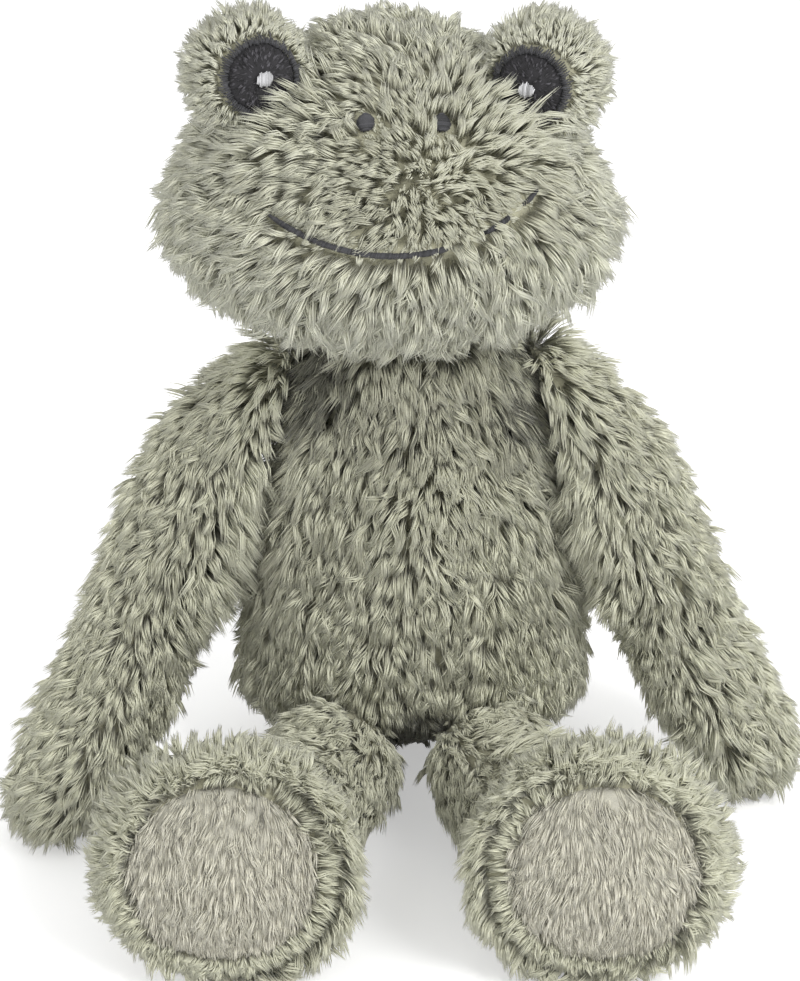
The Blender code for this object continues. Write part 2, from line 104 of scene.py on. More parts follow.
# Where the face's fur fans out: across from the head's middle, and up from the neck point
WHORL = (9.0 * MM, 85.0 * MM)

# Eyes, from the neck point: side, name, look up and look in
EYES = (
    (1.0, "left", math.radians(8.0), math.radians(24.0)),
    (-1.0, "right", math.radians(18.0), math.radians(13.0)),
)
EYE_SPREAD = 89.0 * MM
EYE_FORWARD = 8.0 * MM
EYE_LIFT = 97.0 * MM
EYE_MOUND_RADIUS = 18.5 * MM
EYE_DISC_RADIUS = 9.9 * MM
EYE_BORDER_WIDTH = 1.7 * MM
EYE_GLINT_RADIUS = 2.4 * MM
MOUND_FUR_START = 4.8 * MM

# Nostrils and smile, from the neck point
NOSTRIL_SPREAD = 22.5 * MM
NOSTRIL_LIFT = 101.0 * MM
NOSTRIL_BACK = 41.0 * MM
NOSTRIL_SLOPE = math.radians(48.0)
NOSTRIL_SIZE = (2.6 * MM, 3.1 * MM)
SMILE_HALF_WIDTH = 39.5 * MM
SMILE_LIFT = 64.0 * MM
SMILE_RISE = 8.7 * MM
SMILE_SLANT = 2.8 * MM
SMILE_LINE_WIDTH = 2.2 * MM

# Arms: outward, forward, downward way and half thickness as shares, from root to hand
SHOULDER = np.array((37.62, -27.0, 141.0)) * MM
SHOULDER_LEAN = math.radians(12.0)
SHOULDER_YAW = math.radians(14.0)
ARM_ROOT = np.array((-14.0, 0.0, 8.0)) * MM
HAND_RADIUS = 20.0 * MM
HANDS = ((1.0, "left", 112.5 * MM, 45.0 * MM), (-1.0, "right", 117.5 * MM, 73.0 * MM))
ARM_RING_SHARES = (
    (0.00, 0.00, 0.000, 0.68),
    (0.22, 0.02, 0.070, 0.82),
    (0.45, 0.08, 0.230, 0.90),
    (0.57, 0.27, 0.450, 0.99),
    (0.68, 0.50, 0.660, 1.03),
    (0.82, 0.74, 0.840, 1.06),
    (0.95, 0.95, 0.975, 0.94),
    (1.01, 1.04, 1.040, 0.60),
)

# Legs: forward, outward, upward way and half thickness as shares, from hip to past the sole
HIP = np.array((25.5, -70.0, 26.0)) * MM
SOLE_PLACE = np.array((54.5, -150.0, 38.0)) * MM
FOOT_RADIUS = 38.0 * MM
LEG_RING_SHARES = (
    (-0.220, -0.02, 0.000, 0.370),
    (-0.140, -0.01, 0.000, 0.605),
    (0.000, 0.00, 0.000, 0.640),
    (0.170, 0.10, 0.005, 0.570),
    (0.430, 0.47, 0.180, 0.690),
    (0.680, 0.81, 0.700, 0.920),
    (0.860, 0.95, 0.960, 1.020),
    (1.040, 1.00, 1.000, 0.960),
    (1.180, 1.00, 1.000, 0.780),
)
SOLE_TILT = math.radians(14.0)
SOLE_RADIUS = 28.2 * MM
SOLE_SHIFT = np.array((2.4, 0.0, 1.6)) * MM
SOLE_CROWN = 9.0 * MM
FRINGE_WIDTH = 8.5 * MM

# Round end of the thigh in the body, the middle of the chest's whorl and the picture's middle
THIGH_SOCKET = 19.0 * MM
CHEST_WHORL = np.array((6.0, -66.0, 122.0)) * MM
TARGET = np.array((-4.0, -61.0, 120.0)) * MM

RIGHTWARD, BACK, UP = np.eye(3)
VIEW_RISE = math.radians(30.0)
VIEW = np.array((0.0, -math.cos(VIEW_RISE), math.sin(VIEW_RISE)))


def unit(vectors):
    """Each vector over its own length."""
    return vectors / np.maximum(np.linalg.norm(vectors, axis=-1, keepdims=True), 1e-12)


def dot(first, second):
    """Row by row product of two arrays of vectors, kept as a column."""
    return (first * second).sum(axis=-1, keepdims=True)


def smooth_step(low, high, values):
    """0 below low, 1 above high and 3t^2 - 2t^3 between."""
    share = np.clip((values - low) / (high - low), 0.0, 1.0)
    return share * share * (3.0 - 2.0 * share)


def step_mm(low, high, values):
    """The smooth step with both ends given in millimetres."""
    return smooth_step(low * MM, high * MM, values)


def distance(places, spot):
    """How far each place is from one spot."""
    return np.linalg.norm(places - spot, axis=1)


def nearest(places, spots):
    """How far each place is from the nearest of a few spots."""
    return np.min([distance(places, spot) for spot in spots], axis=0)


def spokes(right, rise, turn):
    """Unit vectors round a middle: right * cos(turn) + rise * sin(turn)."""
    return right * np.cos(turn)[:, None] + rise * np.sin(turn)[:, None]


def ball_grid(look, right, rise, angles, turns):
    """Rows of unit vectors from a ball's middle: look * cos(angle) + spoke * sin(angle)."""
    spoke = spokes(right, rise, np.arange(turns) * 2 * math.pi / turns)
    return look * np.cos(angles)[:, None, None] + spoke[None] * np.sin(angles)[:, None, None]


def along_surface(directions, normals):
    """The part of each direction that lies in the surface, as a unit vector."""
    return unit(directions - normals * dot(directions, normals))


def spline(rows, along):
    """Uniform cubic B-spline: each place is a weighted mean of four control rows."""
    index = np.clip(along.astype(int), 0, len(rows) - 4)
    t = (along - index)[:, None]
    weights = ((1 - t) ** 3, 3 * t**3 - 6 * t**2 + 4, 3 * t + 3 * t**2 - 3 * t**3 + 1, t**3)
    return sum(weight * rows[index + step] for step, weight in enumerate(weights)) / 6


def sway(points, wavelength, seed):
    """A smooth random vector field: means of sines of the place along random directions."""
    rng = np.random.default_rng(seed)
    waves = rng.normal(size=(3, 5, 3)) * 2 * math.pi / wavelength / 1.7
    starts = rng.uniform(0, 2 * math.pi, size=(3, 5))
    ways = [np.sin(points @ waves[axis].T + starts[axis]).mean(axis=1) for axis in range(3)]
    return np.stack(ways, axis=1)


class SoftForm:
    """Rings along a middle line, rounded into one closed form.

    A place is centre + side * half width * cos(turn) + across * half depth * sin(turn), where all of
    them run along the form as B-splines, and both ends close in a pole.
    """

    def __init__(self, centres, half_widths, half_depths, facings, reference, place=None, basis=None):
        # Each end gets a ring of no width, the pole, and beyond it the last ring mirrored
        rows = np.column_stack([centres, half_widths, half_depths, facings])
        shrink = np.ones(8)
        shrink[3:5] = 0.0
        mirror = np.ones(8)
        mirror[3:5] = -1.0
        ends = (rows[0] * mirror, rows[0] * shrink, rows[-1] * shrink, rows[-1] * mirror)
        self.rows = np.vstack([ends[0], ends[1], rows, ends[2], ends[3]])
        self.length = len(self.rows) - 3
        self.reference = reference
        self.place = np.zeros(3) if place is None else place
        self.basis = np.eye(3) if basis is None else basis

    def points(self, turn, along):
        """Places on the form from how far round and how far along they are."""
        row = spline(self.rows, along)
        facing = unit(row[:, 5:8])
        across = unit(self.reference - facing * dot(facing, self.reference[None, :]))
        side = np.cross(across, facing)
        local = row[:, :3] + side * row[:, 3:4] * np.cos(turn)[:, None]
        local = local + across * row[:, 4:5] * np.sin(turn)[:, None]
        return local @ self.basis.T + self.place

    def surface(self, turn, along):
        """Places, outward normals and onward directions, from small steps both ways."""
        step = 1e-3
        along = np.clip(along, 0.03, self.length - 0.03)
        around = self.points(turn + step, along) - self.points(turn - step, along)
        onward = self.points(turn, along + step) - self.points(turn, along - step)
        return self.points(turn, along), unit(np.cross(around, onward)), unit(onward)

    def scatter(self, density, weight, rng, crowd=1.0):
        """Even places: rows at equal steps along the form, each with as many places as fit its girth.

        Every place is shaken a little, and kept while the golden-ratio sequence stays under its weight.
        """
        pitch = 1.0 / math.sqrt(density * crowd)
        fine = np.linspace(0.03, self.length - 0.03, 200)
        turns = np.arange(48) * 2 * math.pi / 48
        turn, along = np.meshgrid(turns, fine)
        rings = self.points(turn.ravel(), along.ravel()).reshape(200, 48, 3)
        girth = np.linalg.norm(rings - np.roll(rings, 1, axis=1), axis=2).sum(axis=1)
        travel = np.linalg.norm(np.diff(rings, axis=0), axis=2).mean(axis=1)
        travel = np.concatenate([[0.0], np.cumsum(travel)])
        levels = np.arange(0.5 * pitch, travel[-1], pitch)
        counts = np.maximum(np.interp(levels, travel, girth) / pitch, 1.0).astype(int)
        row = np.repeat(np.arange(len(levels)), counts)
        index = np.arange(len(row)) - np.repeat(np.cumsum(counts) - counts, counts)
        turn = (index + 0.5 * (row % 2) + rng.uniform(-0.4, 0.4, len(row))) / counts[row] * 2 * math.pi
        along = np.interp(levels[row] + rng.uniform(-0.4, 0.4, len(row)) * pitch, travel, fine)
        place, normal, onward = self.surface(turn, along)
        kept = (np.arange(len(row)) * GOLDEN_SHARE) % 1.0 * crowd < weight(place, normal)
        return place[kept], normal[kept], onward[kept]


def level_form(shares, size, start, place=None, basis=None):
    """A form of level rings above each other."""
    table = np.array(shares)
    half_width, half_depth, height = size
    centres = np.column_stack(
        [np.full(len(table), start[0]), start[1] + table[:, 3] * half_depth, start[2] + table[:, 0] * height]
    )
    facings = np.tile(UP, (len(table), 1))
    return SoftForm(centres, table[:, 1] * half_width, table[:, 2] * half_depth, facings, BACK, place, basis)


def limb_form(centres, radii, reference):
    """A form of round rings square to a middle line."""
    before = np.vstack([centres[:1], centres[:-1]])
    after = np.vstack([centres[1:], centres[-1:]])
    return SoftForm(centres, radii, radii, unit(after - before), reference)


def body_form():
    """The body from under its seat, a little below the floor, to its top inside the head."""
    return level_form(BODY_RING_SHARES, BODY_SIZE, (0.0, -BODY_FORWARD, -BODY_SINK))


def head_basis():
    """The head's lean to its right and its turn, as columns of unit vectors."""
    cos_turn, sin_turn = math.cos(HEAD_TURN), math.sin(HEAD_TURN)
    cos_lean, sin_lean = math.cos(HEAD_LEAN), math.sin(HEAD_LEAN)
    turned = np.array(((cos_turn, -sin_turn, 0.0), (sin_turn, cos_turn, 0.0), (0.0, 0.0, 1.0)))
    leaned = np.array(((cos_lean, 0.0, sin_lean), (0.0, 1.0, 0.0), (-sin_lean, 0.0, cos_lean)))
    return turned @ leaned


def head_form():
    """The head from its underside to its crown, leaned and turned about the neck point."""
    return level_form(HEAD_RING_SHARES, HEAD_SIZE, HEAD_START, NECK, head_basis())


def grounded(make, low):
    """The limb form whose far end is lowered until its lowest point is at the floor."""
    turn, along = np.meshgrid(np.linspace(0, 2 * math.pi, 64), np.linspace(0.1, 1.0, 60))
    end = low
    for _ in range(3):
        form = make(end)
        lowest = form.points(turn.ravel(), along.ravel() * (form.length - 0.05))[:, 2].min()
        end = end - (lowest + 0.5 * MM)
    return make(end), end


def arm_form(side, out, forward):
    """An arm from its root at the shoulder, out and down to the hand on the floor."""
    shoulder = SHOULDER * (side, 1.0, 1.0)
    table = np.array(ARM_RING_SHARES)

    def make(hand_z):
        reach = np.array((out - SHOULDER[0], -SHOULDER[1] - forward, hand_z - SHOULDER[2])) - ARM_ROOT
        centres = (ARM_ROOT + table[:, :3] * reach) * (side, 1.0, 1.0) + shoulder
        return limb_form(centres, table[:, 3] * HAND_RADIUS, BACK)

    return grounded(make, HAND_RADIUS)[0]


def leg_form(side):
    """A leg from the thigh's round end in the body to past the sole, and where its sole is."""
    table = np.array(LEG_RING_SHARES)
    hip = HIP * (side, 1.0, 1.0)

    def make(sole_z):
        reach = np.array((SOLE_PLACE[0] - HIP[0], SOLE_PLACE[1] - HIP[1], sole_z - HIP[2]))
        centres = table[:, (1, 0, 2)] * reach * (side, 1.0, 1.0) + hip
        return limb_form(centres, table[:, 3] * FOOT_RADIUS, UP)

    form, sole_z = grounded(make, SOLE_PLACE[2])
    return form, np.array((side * SOLE_PLACE[0], SOLE_PLACE[1], sole_z))


def sole_frame():
    """Where a sole faces, and the directions across and up of its face."""
    facing = np.array((0.0, -math.cos(SOLE_TILT), math.sin(SOLE_TILT)))
    across = np.cross(UP, facing)
    return facing, across, np.cross(facing, across)


def shoulder_seam(side):
    """The shoulder point and the outward normal of the seam there."""
    level = np.array((side * math.cos(SHOULDER_YAW), math.sin(SHOULDER_YAW), 0.0))
    return SHOULDER * (side, 1.0, 1.0), level * math.cos(SHOULDER_LEAN) + UP * math.sin(SHOULDER_LEAN)


def head_rings(height):
    """The head's form, its level and ring values at heights over the neck point, and its top's height."""
    form = head_form()
    fine = np.linspace(0.0, form.length - 1e-3, 400)
    middles = spline(form.rows, fine)[:, 2]
    level = np.interp(height, middles, fine)
    return form, level, spline(form.rows, level), middles.max()


def face_points(across, height, inset):
    """Places and normals on the front of the face, from how far across and how high they are."""
    form, level, row, _ = head_rings(height)
    turn = -np.arccos(np.clip((across - row[:, 0]) / row[:, 3], -0.995, 0.995))
    place, normal, _ = form.surface(turn, level)
    return place - normal * inset, normal


def smile_points(count, inset):
    """The smile: height rises with the square of the way across, and leans up to the frog's left."""
    share = np.linspace(-1.0, 1.0, count)
    height = SMILE_LIFT + SMILE_RISE * share**2 + SMILE_SLANT * share
    return face_points(share * SMILE_HALF_WIDTH + HEAD_START[0], height, inset)


def nostril_points(side, inset):
    """Middle of a nostril on the face, found where a line that slopes down to the back meets the form."""
    height = np.linspace(70.0, 104.0, 120) * MM
    place, normal = face_points(side * NOSTRIL_SPREAD / 2 + HEAD_START[0], height, 0.0)
    local = (place - NECK) @ head_basis()
    wanted = NOSTRIL_LIFT - (local[:, 1] + NOSTRIL_BACK) * math.tan(NOSTRIL_SLOPE)
    best = [np.argmin(np.abs(local[:, 2] - wanted))]
    return place[best] - normal[best] * inset, normal[best]


def eye_frame(side, look_up, look_in):
    """The middle of an eye mound, where it looks, and the directions right and up of that look."""
    local = np.array((side * EYE_SPREAD / 2 + HEAD_START[0], -EYE_FORWARD, EYE_LIFT))
    flat = math.cos(look_up)
    look = np.array((-side * math.sin(look_in) * flat, -math.cos(look_in) * flat, math.sin(look_up)))
    look = look @ head_basis().T
    rise = unit(UP - look * UP.dot(look))
    return local @ head_basis().T + NECK, look, np.cross(rise, look), rise


def above_floor(points):
    """Places under a low height are pressed up: z becomes h * exp((z - h) / h) below h."""
    low = points[..., 2] < FLOOR_SKIM
    pressed = FLOOR_SKIM * np.exp((np.minimum(points[..., 2], FLOOR_SKIM) - FLOOR_SKIM) / FLOOR_SKIM)
    points = points.copy()
    points[..., 2] = np.where(low, pressed, points[..., 2])
    return points


def new_mesh_piece(name, verts, loops, totals, uv=None):
    """A mesh object from whole arrays: places, the corners of all faces and each face's corner count."""
    mesh = bpy.data.meshes.new(name)
    mesh.vertices.add(len(verts))
    mesh.vertices.foreach_set("co", np.ascontiguousarray(verts, dtype=np.float32).ravel())
    mesh.loops.add(len(loops))
    mesh.loops.foreach_set("vertex_index", loops.astype(np.int32))
    mesh.polygons.add(len(totals))
    starts = np.concatenate([[0], np.cumsum(totals)[:-1]])
    mesh.polygons.foreach_set("loop_start", starts.astype(np.int32))
    mesh.polygons.foreach_set("loop_total", totals.astype(np.int32))
    mesh.polygons.foreach_set("use_smooth", np.ones(len(totals), dtype=bool))
    mesh.update(calc_edges=True)
    if uv is not None:
        layer = mesh.uv_layers.new(name="OFBake")
        layer.data.foreach_set("uv", uv[loops].astype(np.float32).ravel())
    made = bpy.data.objects.new(name, mesh)
    bpy.context.scene.collection.objects.link(made)
    return made


def closed_grid(name, grid):
    """A closed surface from rows of places, wrapped around, with the first and last row drawn to a pole."""
    rows, columns, _ = grid.shape
    poles = np.array([grid[0].mean(axis=0), grid[-1].mean(axis=0)])
    verts = np.vstack([grid.reshape(-1, 3), poles])
    index = np.arange(rows * columns).reshape(rows, columns)
    after = np.roll(index, -1, axis=1)
    quads = np.stack([index[:-1], after[:-1], after[1:], index[1:]], axis=-1).reshape(-1, 4)
    first = np.stack([np.full(columns, rows * columns), after[0], index[0]], axis=-1)
    last = np.stack([index[-1], after[-1], np.full(columns, rows * columns + 1)], axis=-1)
    loops = np.concatenate([quads.ravel(), first.ravel(), last.ravel()])
    totals = np.concatenate([np.full(len(quads), 4), np.full(2 * columns, 3)])
    return new_mesh_piece(name, verts, loops, totals)


def skin(name, form, shape=None, inset=None, turns=96, steps_per_ring=9):
    """The cloth under the pile: the form drawn in along its normals, then shaped by its neighbours."""
    rows = int(steps_per_ring * form.length)
    turn, along = np.meshgrid(
        np.arange(turns) * 2 * math.pi / turns, np.linspace(0.03, form.length - 0.03, rows)
    )
    place, normal, _ = form.surface(turn.ravel(), along.ravel())
    depth = SKIN_INSET if inset is None else inset(place)
    place = place - normal * depth + normal * (0.35 * MM * sway(place, 9.0 * MM, 3)[:, :1])
    if shape is not None:
        place = shape(place)
    place[:, 2] = np.maximum(place[:, 2], SKIN_LIFT)
    return closed_grid(name, place.reshape(rows, turns, 3))


def thread_mesh(name, paths, radii, ups, tints):
    """Closed five-sided tubes along many short paths: each one's tint is the map's u, and its way is v."""
    sides = 5
    count, rings, _ = paths.shape
    tangent = np.empty_like(paths)
    tangent[:, 1:-1] = paths[:, 2:] - paths[:, :-2]
    tangent[:, 0] = paths[:, 1] - paths[:, 0]
    tangent[:, -1] = paths[:, -1] - paths[:, -2]
    tangent = unit(tangent)
    side = unit(np.cross(ups[:, None, :], tangent))
    lift = np.cross(tangent, side)
    angle = 2 * math.pi * np.arange(sides) / sides + math.pi / 2
    spoke = side[:, :, None] * np.cos(angle)[:, None] + lift[:, :, None] * np.sin(angle)[:, None]
    verts = paths[:, :, None] + spoke * radii[:, :, None, None]
    per = rings * sides
    u = np.tile(np.linspace(-1.0, 1.0, sides) * 0.004, rings)[None, :] + tints[:, None]
    v = np.repeat(np.linspace(0.01, 0.97, rings), sides) + np.tile((np.arange(sides) % 2) * 0.02, rings)
    uv = np.stack([u.ravel(), np.tile(v, count)], axis=1)
    ring = np.arange(per).reshape(rings, sides)
    after = np.roll(ring, -1, axis=1)
    quads = np.stack([ring[:-1], after[:-1], after[1:], ring[1:]], axis=-1).reshape(-1)
    one = np.concatenate([quads, ring[-1], ring[0][::-1]])
    totals = np.concatenate([np.full(len(quads) // 4, 4), (sides, sides)])
    loops = (one[None, :] + per * np.arange(count)[:, None]).ravel()
    return new_mesh_piece(name, verts.reshape(-1, 3), loops, np.tile(totals, count), uv)


def hair_mesh(name, paths, radii, ups, tints):
    """Closed hairs, each a point, a ring of three and a point: root, thickest place and tip of its path."""
    count = len(paths)
    tangent = unit(paths[:, 2] - paths[:, 0])
    side = unit(np.cross(ups, tangent))
    lift = np.cross(tangent, side)
    angle = 2 * math.pi * np.arange(3) / 3 + math.pi / 2
    spoke = side[:, None] * np.cos(angle)[:, None] + lift[:, None] * np.sin(angle)[:, None]
    rim = paths[:, 1:2] + spoke * radii[:, None, None]
    verts = above_floor(np.concatenate([paths[:, :1], rim, paths[:, 2:]], axis=1))
    u = tints[:, None] + np.array((0.0, -0.006, 0.0, 0.006, 0.0))
    uv = np.stack([u, np.tile((0.01, 0.66, 0.68, 0.66, 0.99), (count, 1))], axis=-1)
    one = np.array((0, 2, 1, 0, 3, 2, 0, 1, 3, 4, 1, 2, 4, 2, 3, 4, 3, 1))
    loops = (one[None, :] + 5 * np.arange(count)[:, None]).ravel()
    return new_mesh_piece(name, verts.reshape(-1, 3), loops, np.full(6 * count, 3), uv.reshape(-1, 2))


def grow_locks(place, normal, comb, length, steep, tint, style, rng):
    """Hairs in locks: each lock's hairs start round its root and gather towards its tip.

    A hair leaves the cloth at the root's lift and lies down to the tip's lift, so each step adds
    length * (normal * sin(lift) + comb * cos(lift)). Steep locks stand up by that angle more.
    """
    count, strands = len(place), style["strands"]
    wander = rng.normal(0.0, style["wander"], count)[:, None]
    comb = comb * np.cos(wander) + np.cross(normal, comb) * np.sin(wander)
    across = np.cross(normal, comb)
    bend = rng.normal(0.0, style["bend"], (count, 1, 1))
    share = np.clip(rng.normal(0.0, 0.55, (count, strands, 2)), -1.3, 1.3)
    share[:, 0] = 0.0
    angle = rng.normal(0.0, style["splay"], (count, strands))
    angle[:, 0] = 0.0
    lift_change = rng.normal(0.0, 0.07, (count, strands)) + (rng.normal(0.0, 0.14, count) + steep)[:, None]
    reach = length[:, None] * rng.uniform(0.84, 1.08, (count, strands))
    offset = style["spread"] * (share[..., :1] * comb[:, None] + share[..., 1:] * across[:, None])
    direction = comb[:, None] * np.cos(angle)[..., None] + across[:, None] * np.sin(angle)[..., None]
    paths = np.empty((count, strands, 3, 3))
    paths[:, :, 0] = place[:, None] + offset - normal[:, None] * MM
    for step in (1, 2):
        middle = (HAIR_WAYS[step] + HAIR_WAYS[step - 1]) / 2
        lift = style["lift_root"] + (style["lift_tip"] - style["lift_root"]) * middle + lift_change
        move = normal[:, None] * np.sin(lift)[..., None] + direction * np.cos(lift)[..., None]
        move = move + across[:, None] * (bend * middle)
        part = reach * (HAIR_WAYS[step] - HAIR_WAYS[step - 1])
        paths[:, :, step] = paths[:, :, step - 1] + move * part[..., None]
    pull = style["gather"] * np.array(HAIR_WAYS)[:, None] ** 1.2
    paths = paths + pull * (paths[:, :1] - paths)
    radius = style["radius"] * rng.uniform(0.75, 1.25, count * strands)
    tints = tint[:, None] + rng.normal(0.0, 0.08, (count, strands))
    ups = np.repeat(normal, strands, axis=0)
    return paths.reshape(-1, 3, 3), radius, ups, np.clip(tints.ravel(), 0.02, 0.98)


def fur_style(pile, **changes):
    """The long pile's sizes, with a region's changes."""
    style = {
        "strands": pile.strands,
        "spread": pile.lock_spread,
        "radius": pile.strand_width / 2,
        "lift_root": math.radians(46.0),
        "lift_tip": math.radians(6.0),
        "wander": 0.28,
        "bend": 0.34,
        "splay": 0.055,
        "gather": 0.40,
    }
    style.update(changes)
    return style


def fur_piece(name, place, normal, comb, length, steep, tint, style, rng, look, body, slot):
    """One region's fur, as its own piece on its body."""
    steep = steep - 0.30 * np.maximum(comb @ VIEW, 0.0)
    hairs = grow_locks(place, normal, comb, length, steep, tint, style, rng)
    return dressed(hair_mesh(name, *hairs), look, body, slot)


def fur_pieces(region, ends, parts, locks, pile, rng, look, body, slot):
    """A region's fur, split into pieces named for its ends by each lock's part number."""
    for number, end in enumerate(ends):
        part = (values[parts == number] for values in locks)
        fur_piece(region + "_fur_" + end, *part, fur_style(pile), rng, look, body, slot)


def tufted(place, normal, comb, length, seed):
    """Draws locks together into tufts: roots and combing follow short waves, and so does the length."""
    wave = sway(place, 13.0 * MM, seed)
    comb = along_surface(comb + 0.6 * wave, normal)
    length = length * (1.0 + 0.3 * sway(place, 10.0 * MM, seed + 1)[:, 0])
    return comb, length


def shown_share(normal):
    """Full density where the fur is seen most, and less behind and below."""
    shown = 0.40 + 0.60 * smooth_step(-0.35, 0.25, normal @ VIEW)
    return shown * (1.0 - 0.35 * smooth_step(0.3, 0.8, -normal[:, 2]))


def dressed(piece, look, body, slot, *nodes, fill=None):
    """Gives a piece its look by name and its body, and hides the CAD nodes that it stands for. The slot is
    not used.
    """
    piece.data.materials.clear()
    piece.data.materials.append(bpy.data.materials[look])
    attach(piece, body)
    if nodes:
        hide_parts(*nodes)
    return piece


class Nodes:
    """A material's node tree, filled by short calls."""

    def __init__(self, name, roughness, **sockets):
        self.material = bpy.data.materials.new(name)
        self.material.use_nodes = True
        self.tree = self.material.node_tree
        self.shader = self.tree.nodes["Principled BSDF"]
        self.shader.inputs["Roughness"].default_value = roughness
        for socket, value in sockets.items():
            self.shader.inputs[socket.replace("_", " ")].default_value = value

    def add(self, kind, links=(), **values):
        """A node with its own settings or input values by name, and its links as (source, socket)."""
        node = self.tree.nodes.new(kind)
        for name, value in values.items():
            if hasattr(node, name):
                setattr(node, name, value)
            else:
                node.inputs[name.replace("_", " ")].default_value = value
        for source, socket in links:
            self.tree.links.new(source, node.inputs[socket])
        return node

    def link(self, source, socket):
        self.tree.links.new(source, self.shader.inputs[socket])

    def ramp(self, source, stops):
        """Colours along a value from 0 to 1, from (position, colour) stops."""
        node = self.add("ShaderNodeValToRGB", [(source, "Fac")])
        elements = node.color_ramp.elements
        while len(elements) < len(stops):
            elements.new(0.5)
        for element, (position, colour) in zip(elements, stops):
            element.position = position
            element.color = (*colour, 1.0)
        return node.outputs["Color"]

    def mix(self, first, second, factor=None, blend="MIX"):
        """Two colours, sockets 6 and 7 of the node, mixed by a factor or else wholly."""
        node = self.add("ShaderNodeMix", [(first, 6), (second, 7)], data_type="RGBA", blend_type=blend)
        if factor is None:
            node.inputs[0].default_value = 1.0
        else:
            self.tree.links.new(factor, node.inputs[0])
        return node.outputs[2]

    def bump(self, height, strength, distance):
        node = self.add("ShaderNodeBump", [(height, "Height")], Strength=strength, Distance=distance)
        self.link(node.outputs["Normal"], "Normal")


def shade(colour, factor):
    """A colour made darker or paler by one factor."""
    return tuple(channel * factor for channel in colour)


def pile_look(name, root, tip, dusk, roughness=0.8, sheen=0.2):
    """Fur: root to tip along v, darker at the root as painted shade in the pile, strand tints along u, fine
    ridges in the bump.
    """
    look = Nodes(name, roughness, Sheen_Weight=sheen, Sheen_Roughness=0.5)
    place = look.add("ShaderNodeUVMap", uv_map="OFBake").outputs["UV"]
    parts = look.add("ShaderNodeSeparateXYZ", [(place, "Vector")]).outputs

    def root_to_end(start, end):
        """Colours up a strand: start + (end - start) * level at each stop."""
        levels = ((0.0, 0.0), (0.30, 0.45), (0.62, 0.86), (1.0, 1.0))
        stops = [(stop, tuple(s + (e - s) * level for s, e in zip(start, end))) for stop, level in levels]
        return look.ramp(parts["Y"], stops)

    blend = look.mix(root_to_end(shade(root, 0.75), dusk), root_to_end(root, tip), parts["X"])
    # Painted shadow: strands with the lowest tints, as between the legs, are multiplied darker still
    painted_shadow = look.ramp(parts["X"], ((0.0, shade(WHITE, 0.2)), (0.10, WHITE)))
    look.link(look.mix(blend, painted_shadow, blend="MULTIPLY"), "Base Color")
    fine = look.add("ShaderNodeTexNoise", [(place, "Vector")], Scale=90.0, Detail=2.0)
    look.bump(fine.outputs["Fac"], 0.25, 0.2 * MM)


def cloth_look(name, low, high, scale):
    """Backing cloth or filling: two tones of fine noise on the object's own places."""
    look = Nodes(name, 0.9, Sheen_Weight=0.2)
    place = look.add("ShaderNodeTexCoord").outputs["Object"]
    coarse = look.add("ShaderNodeTexNoise", [(place, "Vector")], Scale=scale, Detail=6.0)
    look.link(look.ramp(coarse.outputs["Fac"], ((0.3, low), (0.7, high))), "Base Color")
    cells = look.add("ShaderNodeTexVoronoi", [(place, "Vector")], Scale=scale * 4)
    look.bump(cells.outputs["Distance"], 0.3, 0.6 * MM)


def thread_look(name, low, high, roughness, sheen):
    """Embroidery thread: each stitch's tint along u, with fine twist lines along v."""
    look = Nodes(name, roughness, Sheen_Weight=sheen)
    place = look.add("ShaderNodeUVMap", uv_map="OFBake").outputs["UV"]
    parts = look.add("ShaderNodeSeparateXYZ", [(place, "Vector")]).outputs
    look.link(look.ramp(parts["X"], ((0.1, low), (0.9, high))), "Base Color")
    twist = look.add("ShaderNodeTexWave", [(place, "Vector")], Scale=9.0, bands_direction="Y")
    look.bump(twist.outputs["Fac"], 0.35, 0.1 * MM)


def length_property(title, what, value):
    return FloatProperty(name=title, description=what, default=value, unit="LENGTH")


def colour_property(title, what, value):
    return FloatVectorProperty(name=title, description=what, default=value, size=3, subtype="COLOR",
                               min=0.0, max=1.0)


class FrogPile(bpy.types.PropertyGroup):
    """Sizes of the pile."""

    length: length_property("Pile length", "Length of a strand of the long pile", 13.0 * MM)
    strand_width: length_property("Strand width", "Thickness of one strand", 0.46 * MM)
    lock_spread: length_property("Lock spread", "How far a lock's roots spread", 1.45 * MM)
    strands: IntProperty(name="Strands in a lock", description="Strands that gather to one tip", default=12)
    density: FloatProperty(name="Density", description="Locks on a square millimetre of cloth",
                           default=0.178)
    short_length: length_property("Sole pile", "Length of the short pile of the soles", 10.0 * MM)
    eye_length: length_property("Eye pile", "Length of the short pile of the eye discs", 3.2 * MM)


class FrogColours(bpy.types.PropertyGroup):
    """Colours of the cloths and threads."""

    root: colour_property("Pile root", "Sage pile near the cloth", (0.39, 0.38, 0.27))
    tip: colour_property("Pile tip", "Palest strands' tips", (0.81, 0.81, 0.645))
    dusk: colour_property("Dark strands", "Darkest strands' tips", (0.50, 0.495, 0.38))
    sole: colour_property("Sole", "Short greige pile of the soles", (0.89, 0.865, 0.735))
    eye: colour_property("Eye disc", "Charcoal pile of the eyes", (0.040, 0.038, 0.043))
    thread: colour_property("Thread", "Dark embroidery thread", (0.045, 0.045, 0.050))
    glint: colour_property("Glint", "Pale embroidery thread", (0.80, 0.80, 0.82))


class FrogStage(bpy.types.PropertyGroup):
    """Camera and lamps."""

    distance: length_property("Distance", "Camera to the frog", 1.3)
    elevation: FloatProperty(name="Elevation", description="How far the camera looks down",
                             default=VIEW_RISE, subtype="ANGLE")
    lens: FloatProperty(name="Lens", description="Focal length in millimetres", default=192.2)
    key: FloatProperty(name="Key lamp", description="Power of the main lamp in watts", default=22.5)
    fill: FloatProperty(name="Fill lamp", description="Power of the second lamp in watts", default=4.0)
    sky: FloatProperty(name="Sky", description="Strength of the light from all round", default=0.82)


